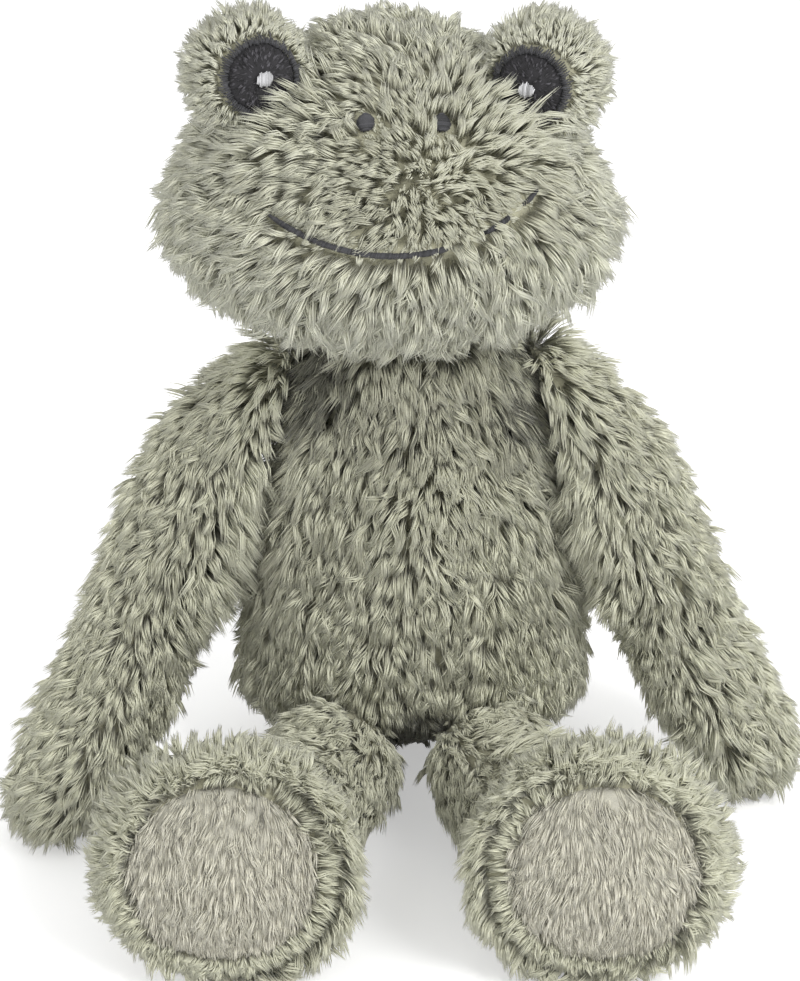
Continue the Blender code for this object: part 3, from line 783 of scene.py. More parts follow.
class FROG_OT_materials(bpy.types.Operator):
    """Make every cloth, pile and thread"""

    bl_idname = "frog.materials"
    bl_label = "Cloths and threads"

    def execute(self, context):
        tone = context.scene.frog_colours
        root, tip, dusk, sole, eye = map(tuple, (tone.root, tone.tip, tone.dusk, tone.sole, tone.eye))
        thread, glint = map(tuple, (tone.thread, tone.glint))
        pile_look("sage pile", root, tip, dusk)
        paler = tuple(np.array(tip) * (0.99, 0.995, 1.045))
        pile_look("head pile", shade(root, 1.25), paler, shade(dusk, 1.15))
        pile_look("sole pile", shade(sole, 0.92), sole, shade(sole, 0.86), 0.9)
        # The eye pile's far paler tips are painted highlights on the charcoal strands
        pile_look("eye pile", shade(eye, 0.15), shade(eye, 3.6), shade(eye, 0.3), 0.6, 0.1)
        # The pile and mound backings are kept dark as painted shade where the cloth shows between the locks
        cloth_look("pile backing", shade(root, 0.7), shade(root, 1.15), 300.0)
        cloth_look("mound backing", shade(root, 0.68), shade(root, 1.1), 300.0)
        cloth_look("sole backing", shade(sole, 0.45), shade(sole, 0.6), 400.0)
        cloth_look("eye backing", shade(eye, 0.3), shade(eye, 0.6), 500.0)
        cloth_look("white fibre", (0.74, 0.74, 0.72), (0.88, 0.88, 0.86), 90.0)
        cloth_look("pellet cloth", (0.60, 0.59, 0.54), (0.74, 0.73, 0.68), 700.0)
        thread_look("dark thread", shade(thread, 0.35), shade(thread, 1.5), 0.45, 0.1)
        thread_look("pale thread", shade(glint, 0.45), glint, 0.3, 0.2)
        return {"FINISHED"}


class FROG_OT_inside(bpy.types.Operator):
    """Give the fillings and the pellet bag their finishes"""

    bl_idname = "frog.inside"
    bl_label = "Fillings"

    def execute(self, context):
        for name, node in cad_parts.items():
            if name.endswith("_filling") or name == "pellet_bag":
                node.data.materials.clear()
                look = "pellet cloth" if name == "pellet_bag" else "white fibre"
                node.data.materials.append(bpy.data.materials[look])
        return {"FINISHED"}


def region_tint(place, seed, base):
    """Tint of a lock: a base, broad drifts over the cloth and the lock's own chance."""
    rng = np.random.default_rng(seed)
    drift = sway(place, 45.0 * MM, seed + 1)[:, 0] * 0.22
    return base + drift + rng.normal(0.0, 0.11, len(place))


class FROG_OT_body(bpy.types.Operator):
    """Dress the body: cloth with sockets for the legs, and fur combed down"""

    bl_idname = "frog.body"
    bl_label = "Body"

    def execute(self, context):
        pile = context.scene.frog_pile
        form = body_form()

        def socket(place):
            """Draws the cloth back where the round end of a thigh sits."""
            place = place.copy()
            for side, _ in SIDES:
                away = place - HIP * (side, 1.0, 1.0)
                room = np.maximum(THIGH_SOCKET**2 - away[:, 0] ** 2 - away[:, 2] ** 2, 0.0) ** 0.5
                inside = (distance(away, 0.0) < THIGH_SOCKET) & (away[:, 1] < room)
                place[inside, 1] = (HIP[1] + room)[inside]
            return place

        def inset(place):
            """Shallower over the pellet bag."""
            return (3.6 + 2.4 * step_mm(36.0, 56.0, place[:, 2:])) * MM

        piece = skin("body_skin", form, socket, inset)
        dressed(piece, "pile backing", "torso", "sage_fur", "body_cover", fill=0.8)

        def weight(place, normal):
            """No fur in the neck or round a thigh's end, and less under the seat."""
            shown = 1.0 - step_mm(164.0, 170.0, place[:, 2])
            shown *= 0.45 + 0.55 * step_mm(1.0, 9.0, place[:, 2])
            for side, _ in SIDES:
                shown *= step_mm(18.0, 22.0, distance(place, HIP * (side, 1.0, 1.0)))
            return shown * shown_share(normal)

        rng = np.random.default_rng(11)
        place, normal, _ = form.scatter(pile.density / MM**2, weight, rng)
        # Combed down, swayed, standing up round the chest's whorl and where an arm hangs beside
        flow = np.cross(RIGHTWARD, normal) - 0.3 * UP
        comb = along_surface(flow + 0.65 * sway(place, 38.0 * MM, 15), normal)
        length = pile.length * rng.uniform(0.8, 1.1, len(place))
        height = place[:, 2]
        length *= 0.85 + 0.15 * step_mm(0.0, 30.0, height)
        comb, length = tufted(place, normal, comb, length, 51)
        steep = 0.75 * (1.0 - step_mm(6.0, 26.0, distance(place, CHEST_WHORL)))
        beside = smooth_step(0.55, 0.85, np.abs(normal[:, 0])) * step_mm(62.0, 80.0, height)
        steep += 0.25 * beside
        length *= 1.0 + 0.28 * beside
        # Painted shade: darker low down, under the chin, beside the arms and most between the legs, where
        # shade falls
        tint = region_tint(place, 21, 0.76) - 0.25 * (1 - step_mm(10.0, 50.0, height))
        tint = tint - 0.45 * step_mm(122.0, 146.0, height) - 0.3 * beside
        away = np.hypot(place[:, 0] - 4.0 * MM, np.maximum(height - 34.0 * MM, 0.0))
        crotch = (1 - step_mm(8.0, 22.0, away)) * (normal[:, 1] < 0.0)
        length *= 1.0 - 0.45 * crotch
        tint -= 1.2 * crotch
        locks = (place - normal * inset(place), normal, comb, length, steep, tint)
        parts = np.where(place[:, 0] < 0.0, 0, 1) + np.where(normal @ VIEW > 0.12, 0, 2)
        fur_pieces("body", QUARTERS, parts, locks, pile, rng, "sage pile", "torso", "sage_fur")
        return {"FINISHED"}


def kept_clear(place, comb, length, points, room, crossing=1.0, least=4.5 * MM):
    """Lengths that stop a lock short of points that it would lie over, but for a few that cross them."""
    away = points[None, :, :] - place[:, None, :]
    ahead = (away * comb[:, None, :]).sum(axis=2)
    beside = np.linalg.norm(away - ahead[..., None] * comb[:, None, :], axis=2)
    hit = (ahead > 0.0) & (beside < room + 1.2 * MM)
    limit = np.where(hit, np.maximum(ahead - room + 1.5 * MM, least), np.inf).min(axis=1)
    return np.minimum(length, limit * np.random.default_rng(35).uniform(0.85, crossing, len(place)))


class FROG_OT_head(bpy.types.Operator):
    """Dress the head: cloth hollowed over the neck, and fur that fans out from the muzzle"""

    bl_idname = "frog.head"
    bl_label = "Head"

    def execute(self, context):
        pile = context.scene.frog_pile
        form = head_form()
        smile, _ = smile_points(60, 0.0)
        nostrils = np.vstack([nostril_points(side, 0.0)[0] for side, _ in SIDES])

        def inset(place):
            """The cloth rises to the embroidery, where the pile is cut away."""
            gap = nearest(place, np.vstack([smile, nostrils]))
            crown = 2.1 * MM * step_mm(222.0, 236.0, place[:, 2])
            rise = crown + 3.6 * MM * np.exp(-((gap / (4.0 * MM)) ** 2))
            return np.maximum(SKIN_INSET - rise, 2.0 * MM)[:, None]

        def hollow(place):
            """Pushes the underside out to the ball that turns on the neck."""
            away = place - NECK
            far = np.linalg.norm(away, axis=1, keepdims=True)
            return np.where(far < NECK_SOCKET, NECK + away / far * NECK_SOCKET, place)

        piece = skin("head_skin", form, hollow, inset, turns=144, steps_per_ring=14)
        dressed(piece, "pile backing", "head", "sage_fur_head", "head_cover", fill=0.85)

        eyes = [eye_frame(side, look_up, look_in) for side, _, look_up, look_in in EYES]
        source, _ = face_points(HEAD_START[0] + WHORL[0], np.array([WHORL[1]]), 0.0)

        def weight(place, normal):
            """No fur on the neck's ball, in the eye mounds or on the embroidery, and more on the muzzle."""
            shown = smooth_step(NECK_SOCKET, NECK_SOCKET + 5.0 * MM, distance(place, NECK))
            for centre, _, _, _ in eyes:
                gap = distance(place, centre)
                shown *= smooth_step(EYE_MOUND_RADIUS - 4.0 * MM, EYE_MOUND_RADIUS, gap)
            bare = (nearest(place, smile) <= 0.5 * MM) | (nearest(place, nostrils) <= 3.1 * MM)
            muzzle = 1.0 - step_mm(12.0, 42.0, distance(place, source))
            return shown * ~bare * shown_share(normal) * (1.0 + 0.4 * muzzle)

        rng = np.random.default_rng(12)
        place, normal, _ = form.scatter(pile.density / MM**2, weight, rng, 1.4)
        # Out from the whorl, lying back behind the eyes, hanging below and swaying on the muzzle
        away = place - source
        flow = away / (np.linalg.norm(away, axis=1, keepdims=True) + 20.0 * MM) - (0.12, 0.0, 0.45)
        behind = step_mm(-30.0, 10.0, place[:, 1])[:, None]
        flow = flow * (1.0 - behind) + behind * (0.35 * flow - UP)
        below = step_mm(10.0, 40.0, source[:, 2] - place[:, 2])[:, None]
        flow -= 0.35 * below * UP
        muzzle = np.exp(-((away / (30.0 * MM)) ** 2).sum(axis=1, keepdims=True))
        flow += 0.6 * sway(place, 30.0 * MM, 6) + 0.7 * muzzle * sway(place, 14.0 * MM, 16)
        comb = along_surface(flow, normal)
        # Short and steep at the whorl, long under the chin
        length = pile.length * rng.uniform(0.8, 1.1, len(place))
        from_source = distance(place, source)
        length *= 0.70 + 0.34 * step_mm(12.0, 46.0, from_source) + 0.26 * below[:, 0]
        length *= 1.0 - 0.16 * step_mm(238.0, 250.0, place[:, 2])
        comb, length = tufted(place, normal, comb, length, 61)
        steep = 0.5 * (1.0 - step_mm(8.0, 36.0, from_source))
        steep += 0.45 * (1.0 - step_mm(3.0, 14.0, from_source))
        # The smile, nostrils and glints stay bare, but for parts of the smile that fur lies over
        share = np.linspace(-1.0, 1.0, len(smile))
        bare = smile[(share < 0.34) | ((share > 0.50) & (share < 0.62))]
        clear = kept_clear(place, comb, length, bare[::2], 1.0 * MM, 1.22)
        clear = kept_clear(place, comb, clear, smile[share > 0.74][::2], 1.3 * MM, 1.2, 2.8 * MM)
        clear = kept_clear(place, comb, clear, nostrils, 4.0 * MM, 1.0, 2.6 * MM)
        for centre, look, _, _ in eyes:
            disc = centre + look * EYE_MOUND_RADIUS
            # Longer, steeper fur leans over the disc's inner lower edge
            brow = smooth_step(0.2, 0.6, unit(place - disc) @ unit(source[0] - disc))
            brow *= 1.0 - step_mm(18.0, 27.0, distance(place, disc))
            clear *= 1.0 + 0.45 * brow
            glint = (disc + look * 2.0 * MM)[None, :]
            clear = kept_clear(place, comb, clear, glint, EYE_GLINT_RADIUS + 3.5 * MM)
            steep += 0.6 * brow
        steep += 0.5 * np.maximum(1.0 - clear / length, 0.0)
        # Darker round the whorl, partly the short muzzle fur's own tone and partly painted shade where it is
        # seen end-on; paler under the chin
        tint = region_tint(place, 22, 0.80) - 0.4 * (1.0 - step_mm(16.0, 56.0, from_source))
        tint += 0.25 * below[:, 0]
        locks = (place - normal * inset(place), normal, comb, clear, steep, tint)
        parts = np.where(place[:, 0] < HEAD_START[0], 0, 1) + np.where(normal @ VIEW > 0.25, 0, 2)
        fur_pieces("head", QUARTERS, parts, locks, pile, rng, "head pile", "head", "sage_fur_head")
        return {"FINISHED"}


class FROG_OT_arms(bpy.types.Operator):
    """Dress both arms: fur runs down to the hand and parts along the front seam"""

    bl_idname = "frog.arms"
    bl_label = "Arms"

    def execute(self, context):
        pile = context.scene.frog_pile
        for side, name, out, forward in HANDS:
            limb = name + "_arm"
            form = arm_form(side, out, forward)
            shoulder, outward = shoulder_seam(side)

            def flat_root(place):
                """Flattens the root on the seam plane at the body's side."""
                behind = (place - shoulder) @ outward
                return place - np.minimum(behind, 0.0)[:, None] * outward

            piece = skin(limb + "_skin", form, flat_root, turns=64)
            dressed(piece, "pile backing", limb, "sage_fur", limb + "_cover", fill=0.7)

            def weight(place, normal):
                """Half as much fur on the flat root as outside the seam."""
                ahead = (place - shoulder) @ outward
                return shown_share(normal) * (0.45 + 0.55 * step_mm(-2.0, 1.0, ahead))

            rng = np.random.default_rng(13 if side > 0 else 14)
            place, normal, onward = form.scatter(pile.density / MM**2, weight, rng)
            # Combed to the hand, parted along the front, and hanging from the root
            front = smooth_step(0.1, 0.75, -normal[:, 1])[:, None]
            sideways = np.sign(normal[:, :1] + 0.12 * side) * RIGHTWARD
            ahead = (place - shoulder) @ outward
            root = 1.0 - step_mm(2.0, 12.0, ahead)[:, None]
            flow = (onward + 0.22 * front * sideways) * (1.0 - root)
            flow = flow - root * (0.8 * UP + 0.1 * outward) - 0.2 * UP
            comb = along_surface(flow + 0.55 * sway(place, 26.0 * MM, 7 if side > 0 else 8), normal)
            length = pile.length * rng.uniform(0.8, 1.1, len(place))
            comb, length = tufted(place, normal, comb, length, 71)
            # Longer and steeper towards the body and on top of the root, to close the crevices
            inner = smooth_step(0.2, 0.8, -side * normal[:, 0])
            high = step_mm(62.0, 80.0, place[:, 2])
            steep = 0.48 * inner * high + 0.3 * root[:, 0]
            length *= 1.0 + inner * (0.55 * high - 0.15)
            top = root[:, 0] * step_mm(138.0, 150.0, place[:, 2])
            length *= 1.0 + 0.35 * top
            steep += 0.3 * top
            tint = region_tint(place, 23 if side > 0 else 24, 0.80)
            rooted = flat_root(place - normal * SKIN_INSET)
            # Locks behind the seam's plane stand on the flat root, which shows when the arm swings
            hidden = ahead < 0.0
            normal = np.where(hidden[:, None], -outward, normal)
            comb = np.where(hidden[:, None], along_surface(comb - 0.5 * UP, normal), comb)
            length = np.where(hidden, 0.6 * length, length)
            steep = np.where(hidden, -0.6, steep)
            locks = (rooted, normal, comb, length, steep, tint)
            parts = np.where(normal @ VIEW > 0.2, 0, 1)
            fur_pieces(limb, HALVES, parts, locks, pile, rng, "sage pile", limb, "sage_fur")
        return {"FINISHED"}


class FROG_OT_legs(bpy.types.Operator):
    """Dress both legs: fur runs along the thigh, over the foot and round the sole"""

    bl_idname = "frog.legs"
    bl_label = "Legs"

    def execute(self, context):
        pile = context.scene.frog_pile
        facing, across, rise = sole_frame()
        for side, name in SIDES:
            limb = name + "_leg"
            form, sole = leg_form(side)

            def flat_end(place):
                """Flattens the foot behind the sole."""
                ahead = (place - sole) @ facing + 2.5 * MM
                return place - np.maximum(ahead, 0.0)[:, None] * facing

            piece = skin(limb + "_skin", form, flat_end, turns=72)
            dressed(piece, "pile backing", limb, "sage_fur", limb + "_cover", fill=0.75)

            def weight(place, normal):
                """No fur past the sole, more on the thigh than the foot, and half on its end in the body."""
                shown = 1.0 - step_mm(-1.0, 1.0, (place - sole) @ facing)
                inside = step_mm(-66.0, -60.0, place[:, 1])
                thigh = 1.0 + 0.3 * step_mm(-110.0, -85.0, place[:, 1])
                return shown * (shown_share(normal) * thigh * (1.0 - inside) + 0.5 * inside)

            rng = np.random.default_rng(15 if side > 0 else 16)
            place, normal, onward = form.scatter(pile.density / MM**2, weight, rng, 1.3)
            # Combed to the foot and down, out round the sole and sideways on the thigh
            front = step_mm(-30.0, 0.0, (place - sole) @ facing)[:, None]
            radial = along_surface(place - sole, np.broadcast_to(facing, place.shape))
            behind = step_mm(20.0, 45.0, (sole - place) @ facing)[:, None]
            flow = onward * (0.8 - 0.45 * front - 0.3 * behind) - 0.3 * UP + 0.5 * front * radial
            flow += 0.35 * behind * side * RIGHTWARD
            comb = along_surface(flow + 0.35 * sway(place, 26.0 * MM, 9 if side > 0 else 10), normal)
            length = pile.length * 0.95 * rng.uniform(0.8, 1.1, len(place))
            comb, length = tufted(place, normal, comb, length, 81)
            tint = region_tint(place, 25 if side > 0 else 26, 0.66)
            inside = step_mm(-68.0, -60.0, place[:, 1])
            length *= 1.0 - 0.35 * inside
            steep = 0.45 * front[:, 0] - 0.3 * inside
            locks = (place - normal * SKIN_INSET, normal, comb, length, steep, tint)
            parts = np.where(normal @ VIEW > 0.1, 0, 1)
            fur_pieces(limb, HALVES, parts, locks, pile, rng, "sage pile", limb, "sage_fur")

            # The fringe turns from the sole's rim back over the foot's edge, and is flattened under it
            count = 1300
            sole = sole + SOLE_SHIFT * (side, 1.0, 1.0)
            turn = (np.arange(count) + rng.random(count)) * 2 * math.pi / count
            spoke = spokes(across, rise, turn)
            ring = rng.uniform(SOLE_RADIUS - 1.5 * MM, SOLE_RADIUS + FRINGE_WIDTH, count)[:, None]
            low = smooth_step(0.3, 0.9, -spoke @ rise)[:, None]
            ring = ring - 0.65 * low * np.maximum(ring - SOLE_RADIUS, 0.0)
            round_edge = np.clip((ring - SOLE_RADIUS) / FRINGE_WIDTH, 0.0, 1.0)
            place = sole + spoke * ring - facing * (3.0 + 8.0 * round_edge**2) * MM
            normal = unit(facing * (0.8 - 0.6 * round_edge) + spoke * (0.6 + 0.4 * round_edge))
            flow = spoke - 0.9 * round_edge * facing + 0.7 * sway(place, 14.0 * MM, 31)
            comb = along_surface(flow, normal)
            length = pile.length * 0.8 * rng.uniform(0.75, 1.15, count) * (1.0 - 0.35 * low[:, 0])
            steep = 0.5 - 0.3 * (ring[:, 0] - SOLE_RADIUS) / FRINGE_WIDTH
            tint = region_tint(place, 27, 0.75)
            style = fur_style(pile, strands=8, spread=1.2 * MM)
            fur_piece(name + "_sole_fringe", place, normal, comb, length, steep, tint, style, rng,
                      "sage pile", limb, "sage_fur")
        return {"FINISHED"}


def dome(name, centre, look, right, rise, radius, edge, thickness):
    """A closed round patch: its front lies a thickness outside the ball, and its back on the ball."""
    rings = np.linspace(0.02, 1.0, 14)
    angle = np.concatenate([rings, rings[::-1]]) * edge
    reach = np.repeat((radius + thickness, radius), len(rings))
    grid = centre + ball_grid(look, right, rise, angle, 48) * reach[:, None, None]
    return closed_grid(name, grid[:, ::-1])


class FROG_OT_soles(bpy.types.Operator):
    """Sew in the soles: padded discs with short pile combed down"""

    bl_idname = "frog.soles"
    bl_label = "Soles"

    def execute(self, context):
        pile = context.scene.frog_pile
        facing, across, rise = sole_frame()
        ball = (SOLE_RADIUS**2 + SOLE_CROWN**2) / (2 * SOLE_CROWN)
        edge = math.asin(SOLE_RADIUS / ball)
        for side, name in SIDES:
            _, sole = leg_form(side)
            sole = sole + SOLE_SHIFT * (side, 1.0, 1.0)
            middle = sole + facing * (SOLE_CROWN - 3.0 * MM - ball)
            piece = dome(name + "_sole_pad", middle, facing, across, rise, ball - 2.0 * MM, edge, 2.0 * MM)
            dressed(piece, "sole backing", name + "_leg", "sole_pile", name + "_sole", fill=0.6)

            rng = np.random.default_rng(17 if side > 0 else 18)
            count = 2150
            angle = np.arccos(1.0 - (1.0 - math.cos(edge + 0.09)) * (np.arange(count) + 0.5) / count)
            turn = np.arange(count) * GOLDEN_TURN + rng.normal(0.0, 0.02, count)
            spoke = spokes(across, rise, turn)
            normal = facing * np.cos(angle)[:, None] + spoke * np.sin(angle)[:, None]
            place = middle + normal * ball
            flow = -UP + 0.35 * sway(place, 18.0 * MM, 33) + 0.6 * sway(place, 5.0 * MM, 34)
            comb = along_surface(flow, normal)
            height = (place - sole) @ rise
            low = 1.0 - step_mm(-28.0, -8.0, height)
            length = pile.short_length * rng.uniform(0.75, 1.2, count) * (1.0 - 0.5 * low)
            # Streaks in the pile, and painted shade: darker low on the domed pad and in a band at its top
            # under the fringe
            streaks = sway(place * (4.0, 1.0, 1.0), 9.0 * MM, 28)[:, 0]
            top = step_mm(10.0, 24.0, height)
            tint = 0.60 + 0.3 * streaks + rng.normal(0.0, 0.06, count) - 0.08 * low - 0.35 * top
            style = fur_style(pile, strands=6, spread=1.15 * MM, radius=0.17 * MM, wander=0.14, bend=0.2,
                              gather=0.3, lift_root=math.radians(15.0), lift_tip=math.radians(1.0))
            fur_piece(name + "_sole_pile", place, normal, comb, length, np.zeros(count), tint, style, rng,
                      "sole pile", name + "_leg", "sole_pile")
        return {"FINISHED"}


def stitches(name, starts, ends, normals, radius, arch, look, body, slot, rng, *nodes):
    """Satin stitches: threads from start to end that arch over by arch * 4t(1 - t)."""
    ways = np.linspace(0.0, 1.0, 5)
    straight = starts[:, None] + (ends - starts)[:, None] * ways[None, :, None]
    paths = straight + normals[:, None] * (arch * 4 * ways * (1 - ways) - 0.25 * MM)[None, :, None]
    radii = np.full(paths.shape[:2], radius) * rng.uniform(0.85, 1.15, (len(paths), 1))
    tints = rng.uniform(0.1, 0.9, len(paths))
    piece = thread_mesh(name, paths, radii, normals, tints)
    return dressed(piece, look, body, slot, *nodes)


class FROG_OT_eyes(bpy.types.Operator):
    """Make the eye mounds, their charcoal discs, stitched borders and glints"""

    bl_idname = "frog.eyes"
    bl_label = "Eyes"

    def execute(self, context):
        pile = context.scene.frog_pile
        for side, name, look_up, look_in in EYES:
            centre, look, right, rise = eye_frame(side, look_up, look_in)
            rng = np.random.default_rng(19 if side > 0 else 20)
            disc_edge = math.asin(EYE_DISC_RADIUS / EYE_MOUND_RADIUS)
            border_edge = disc_edge + EYE_BORDER_WIDTH / EYE_MOUND_RADIUS

            def cloth_radius(angle):
                """The stuffed mound stands out under the disc and is drawn in under the long pile."""
                drawn_in = smooth_step(border_edge, border_edge + 0.7, angle)
                return EYE_MOUND_RADIUS - 0.5 * MM - 5.0 * MM * drawn_in

            angles = np.linspace(0.02, math.pi - 0.02, 40)
            grid = ball_grid(look, right, rise, angles, 64) * cloth_radius(angles)[:, None, None] + centre
            piece = closed_grid(name + "_eye_mound_skin", grid[:, ::-1])
            dressed(piece, "mound backing", "head", "sage_fur_head", name + "_eye_mound", fill=0.9)

            piece = dome(name + "_eye_disc_base", centre, look, right, rise, EYE_MOUND_RADIUS - 0.3 * MM,
                         disc_edge, 0.7 * MM)
            dressed(piece, "eye backing", "head", "charcoal_pile", name + "_eye_disc")

            def sphere(angle, turn):
                """Unit vectors from the mound's middle, and the directions away from its look."""
                spoke = spokes(right, rise, turn)
                normal = look * np.cos(angle)[:, None] + spoke * np.sin(angle)[:, None]
                return normal, unit(spoke * np.cos(angle)[:, None] - look * np.sin(angle)[:, None])

            count = 620
            angle = disc_edge * np.sqrt((np.arange(count) + 0.5) / count)
            turn = np.arange(count) * GOLDEN_TURN
            normal, away = sphere(angle, turn)
            place = centre + normal * (EYE_MOUND_RADIUS + 0.3 * MM)
            comb = along_surface(away + 0.35 * sway(place, 5.0 * MM, 41), normal)
            length = pile.eye_length * rng.uniform(0.75, 1.15, count)
            length *= 1.0 - 0.7 * smooth_step(0.6, 1.0, angle / disc_edge)
            tint = np.clip(0.36 + rng.normal(0.0, 0.32, count), 0.03, 0.97)
            style = fur_style(pile, strands=4, spread=0.5 * MM, radius=0.20 * MM, wander=0.25, bend=0.2,
                              gather=0.7, lift_root=math.radians(40.0), lift_tip=math.radians(8.0))
            fur_piece(name + "_eye_disc_pile", place, normal, comb, length, np.zeros(count), tint, style,
                      rng, "eye pile", "head", "charcoal_pile")

            count = 210
            turn = np.arange(count) * 2 * math.pi / count
            zigzag = np.where(np.arange(count) % 2 == 0, 0.0165, -0.0165)
            inner, _ = sphere(disc_edge - 0.02 + rng.normal(0.0, 0.012, count), turn)
            outer, _ = sphere(border_edge + rng.normal(0.0, 0.035, count), turn + zigzag)
            starts = centre + inner * (EYE_MOUND_RADIUS + 1.2 * MM)
            ends = centre + outer * (EYE_MOUND_RADIUS + 0.8 * MM)
            stitches(name + "_eye_border_stitches", starts, ends, unit(inner + outer), 0.24 * MM, 0.9 * MM,
                     "dark thread", "head", "charcoal_thread", rng, name + "_eye_border")

            count = 12
            shift = np.linspace(-0.92, 0.92, count)
            chord = np.sqrt(1.0 - shift**2) * rng.uniform(0.75, 1.2, count)
            middle = centre + look * (EYE_MOUND_RADIUS + 2.0 * MM)
            middle = middle + right * (shift * EYE_GLINT_RADIUS)[:, None]
            half = rise * (chord * EYE_GLINT_RADIUS)[:, None] * 0.95 + right * 0.2 * MM
            stitches(name + "_eye_glint_stitches", middle - half, middle + half, np.tile(look, (count, 1)),
                     0.2 * MM, 0.45 * MM, "pale thread", "head", "pale_thread", rng,
                     name + "_eye_glint")

            count = 1800
            angle = np.arccos(1.0 - 2.0 * (np.arange(count) + 0.5) / count)
            turn = np.arange(count) * GOLDEN_TURN
            normal, away = sphere(angle, turn)
            place = centre + normal * EYE_MOUND_RADIUS
            local = (place - NECK) @ head_basis()
            _, _, row, top = head_rings(local[:, 2])
            share = (((local[:, :2] - row[:, :2]) / np.maximum(row[:, 3:5], MM)) ** 2).sum(axis=1)
            outside = (share > 0.96) | (local[:, 2] > top - 1.0 * MM)
            kept = outside & (angle > border_edge + 0.03)
            angle, normal, away = angle[kept], normal[kept], away[kept]
            root = centre + normal * cloth_radius(angle)[:, None]
            comb = along_surface(away + 0.7 * sway(root, 12.0 * MM, 42), normal)
            grown = smooth_step(border_edge + 0.05, border_edge + 0.55, angle)
            length = MOUND_FUR_START + (pile.length * 0.88 - MOUND_FUR_START) * grown
            length *= rng.uniform(0.7, 1.15, len(root))
            tint = region_tint(root, 29, 0.7)
            style = fur_style(pile, strands=10, spread=1.1 * MM)
            fur_piece(name + "_eye_mound_fur", root, normal, comb, length, 0.35 - 0.25 * grown, tint, style,
                      rng, "head pile", "head", "sage_fur_head")
        return {"FINISHED"}


class FROG_OT_face(bpy.types.Operator):
    """Embroider the nostrils and the smile"""

    bl_idname = "frog.face"
    bl_label = "Nostrils and smile"

    def execute(self, context):
        rng = np.random.default_rng(30)
        count = 250
        share = np.linspace(-1.0, 1.0, count)
        # Under the fur that lies over the smile, the thread is sewn deeper
        sunk = smooth_step(0.27, 0.36, share) - smooth_step(0.56, 0.64, share)
        sunk = sunk + smooth_step(0.76, 0.81, share) - smooth_step(0.88, 0.93, share)
        middle, normal = smile_points(count, (0.5 + 2.6 * sunk)[:, None] * MM)
        onward = unit(np.gradient(middle, axis=0))
        across = np.cross(normal, onward)
        ends = smooth_step(0.0, 0.04, np.minimum(np.linspace(0, 1, count), np.linspace(1, 0, count)))
        half = SMILE_LINE_WIDTH * 0.36 * (0.5 + 0.5 * ends) * rng.uniform(0.88, 1.12, count)
        half = across * half[:, None]
        slant = onward * 0.25 * MM
        stitches("smile_stitches", middle - half - slant, middle + half + slant, normal, 0.22 * MM,
                 0.45 * MM, "dark thread", "head", "charcoal_thread", rng, "mouth")
        for side, name in SIDES:
            place, normal = nostril_points(side, 0.7 * MM)
            right = along_surface(head_basis()[:, 0][None, :], normal)
            rise = np.cross(normal, right)
            count = 15
            shift = np.linspace(-0.94, 0.94, count)
            chord = np.sqrt(1.0 - shift**2) * rng.uniform(0.93, 1.07, count)
            middle = place + rise * (shift * NOSTRIL_SIZE[1])[:, None]
            half = right * (chord * NOSTRIL_SIZE[0])[:, None] + rise * 0.15 * MM
            stitches(name + "_nostril_stitches", middle - half, middle + half, np.tile(normal, (count, 1)),
                     0.27 * MM, 0.6 * MM, "dark thread", "head", "charcoal_thread", rng,
                     name + "_nostril")
        return {"FINISHED"}


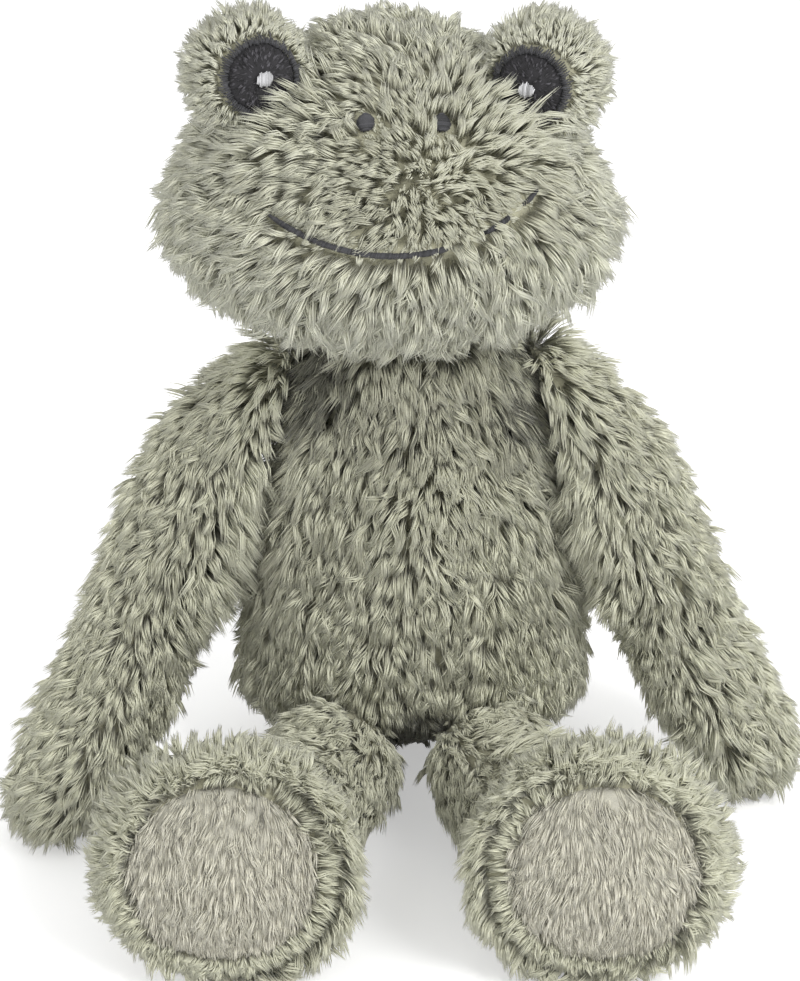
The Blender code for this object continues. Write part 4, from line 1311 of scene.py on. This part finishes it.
class FROG_OT_stage(bpy.types.Operator):
    """Set up the pale floor, soft lamps and the camera"""

    bl_idname = "frog.stage"
    bl_label = "Stage"

    def execute(self, context):
        stage = context.scene.frog_stage
        corners = 6.0 * np.array(((-1.0, -1.0, 0.0), (1.0, -1.0, 0.0), (1.0, 1.0, 0.0), (-1.0, 1.0, 0.0)))
        floor = new_mesh_piece("floor", corners, np.arange(4), np.array([4]))
        look = Nodes("pale floor", 0.9)
        look.shader.inputs["Base Color"].default_value = (0.86, 0.86, 0.86, 1.0)
        rays = look.add("ShaderNodeLightPath")
        seen = rays.outputs["Is Camera Ray"]
        for kind in ("Is Glossy Ray", "Is Transmission Ray"):
            links = [(seen, 0), (rays.outputs[kind], 1)]
            seen = look.add("ShaderNodeMath", links, operation="MAXIMUM").outputs[0]
        look.shader.inputs["Emission Color"].default_value = (*WHITE, 1.0)
        glow = look.add("ShaderNodeMath", [(seen, 0)], operation="MULTIPLY")
        glow.inputs[1].default_value = 0.42
        look.link(glow.outputs[0], "Emission Strength")
        floor.data.materials.append(look.material)

        world = bpy.data.worlds.new("soft sky")
        context.scene.world = world
        world.use_nodes = True
        tree = world.node_tree
        sky = tree.nodes["Background"]
        sky.inputs["Color"].default_value = (*WHITE, 1.0)
        rays = tree.nodes.new("ShaderNodeLightPath")
        plain = tree.nodes.new("ShaderNodeMix")
        plain.inputs[2].default_value = stage.sky
        plain.inputs[3].default_value = 1.0
        tree.links.new(rays.outputs["Is Camera Ray"], plain.inputs[0])
        tree.links.new(plain.outputs[0], sky.inputs["Strength"])

        for name, power, size, offset in (
            ("key", stage.key, 0.7, (1.05, -1.20, 1.35)),
            ("fill", stage.fill, 1.1, (-1.05, -1.35, 0.8)),
        ):
            lamp = bpy.data.lights.new(name, "AREA")
            lamp.energy = power
            lamp.size = size
            thing = bpy.data.objects.new(name, lamp)
            thing.location = TARGET + np.array(offset)
            aim = unit(-np.array(offset))
            thing.rotation_euler = (math.acos(-aim[2]), 0.0, math.atan2(-aim[0], aim[1]))
            context.scene.collection.objects.link(thing)

        camera = bpy.data.cameras.new("camera")
        camera.sensor_fit = "HORIZONTAL"
        camera.sensor_width = 36.0
        camera.lens = stage.lens
        thing = bpy.data.objects.new("camera", camera)
        back = np.array((0.0, -math.cos(stage.elevation), math.sin(stage.elevation)))
        thing.location = TARGET + back * stage.distance
        thing.rotation_euler = (math.pi / 2 - stage.elevation, 0.0, 0.0)
        context.scene.collection.objects.link(thing)
        context.scene.camera = thing
        context.scene.view_settings.view_transform = "Standard"
        return {"FINISHED"}


class FROG_PT_panel(bpy.types.Panel):
    """Sizes and steps of the frog"""

    bl_idname = "FROG_PT_panel"
    bl_label = "Plush frog"
    bl_space_type = "VIEW_3D"
    bl_region_type = "UI"
    bl_category = "Frog"

    def draw(self, context):
        layout = self.layout
        for group in (context.scene.frog_pile, context.scene.frog_colours, context.scene.frog_stage):
            for name in group.__annotations__:
                layout.prop(group, name)
        for step in STEPS:
            layout.operator(step.bl_idname)


GROUPS = (FrogPile, FrogColours, FrogStage)
STEPS = (
    FROG_OT_materials,
    FROG_OT_inside,
    FROG_OT_body,
    FROG_OT_head,
    FROG_OT_arms,
    FROG_OT_legs,
    FROG_OT_soles,
    FROG_OT_eyes,
    FROG_OT_face,
    FROG_OT_stage,
)


def register():
    for made in (*GROUPS, *STEPS, FROG_PT_panel):
        bpy.utils.register_class(made)
    bpy.types.Scene.frog_pile = PointerProperty(type=FrogPile)
    bpy.types.Scene.frog_colours = PointerProperty(type=FrogColours)
    bpy.types.Scene.frog_stage = PointerProperty(type=FrogStage)


def unregister():
    del bpy.types.Scene.frog_stage
    del bpy.types.Scene.frog_colours
    del bpy.types.Scene.frog_pile
    for made in reversed((*GROUPS, *STEPS, FROG_PT_panel)):
        bpy.utils.unregister_class(made)


def main():
    register()
    for step in STEPS:
        group, name = step.bl_idname.split(".")
        getattr(getattr(bpy.ops, group), name)()


if __name__ == "__main__":
    main()
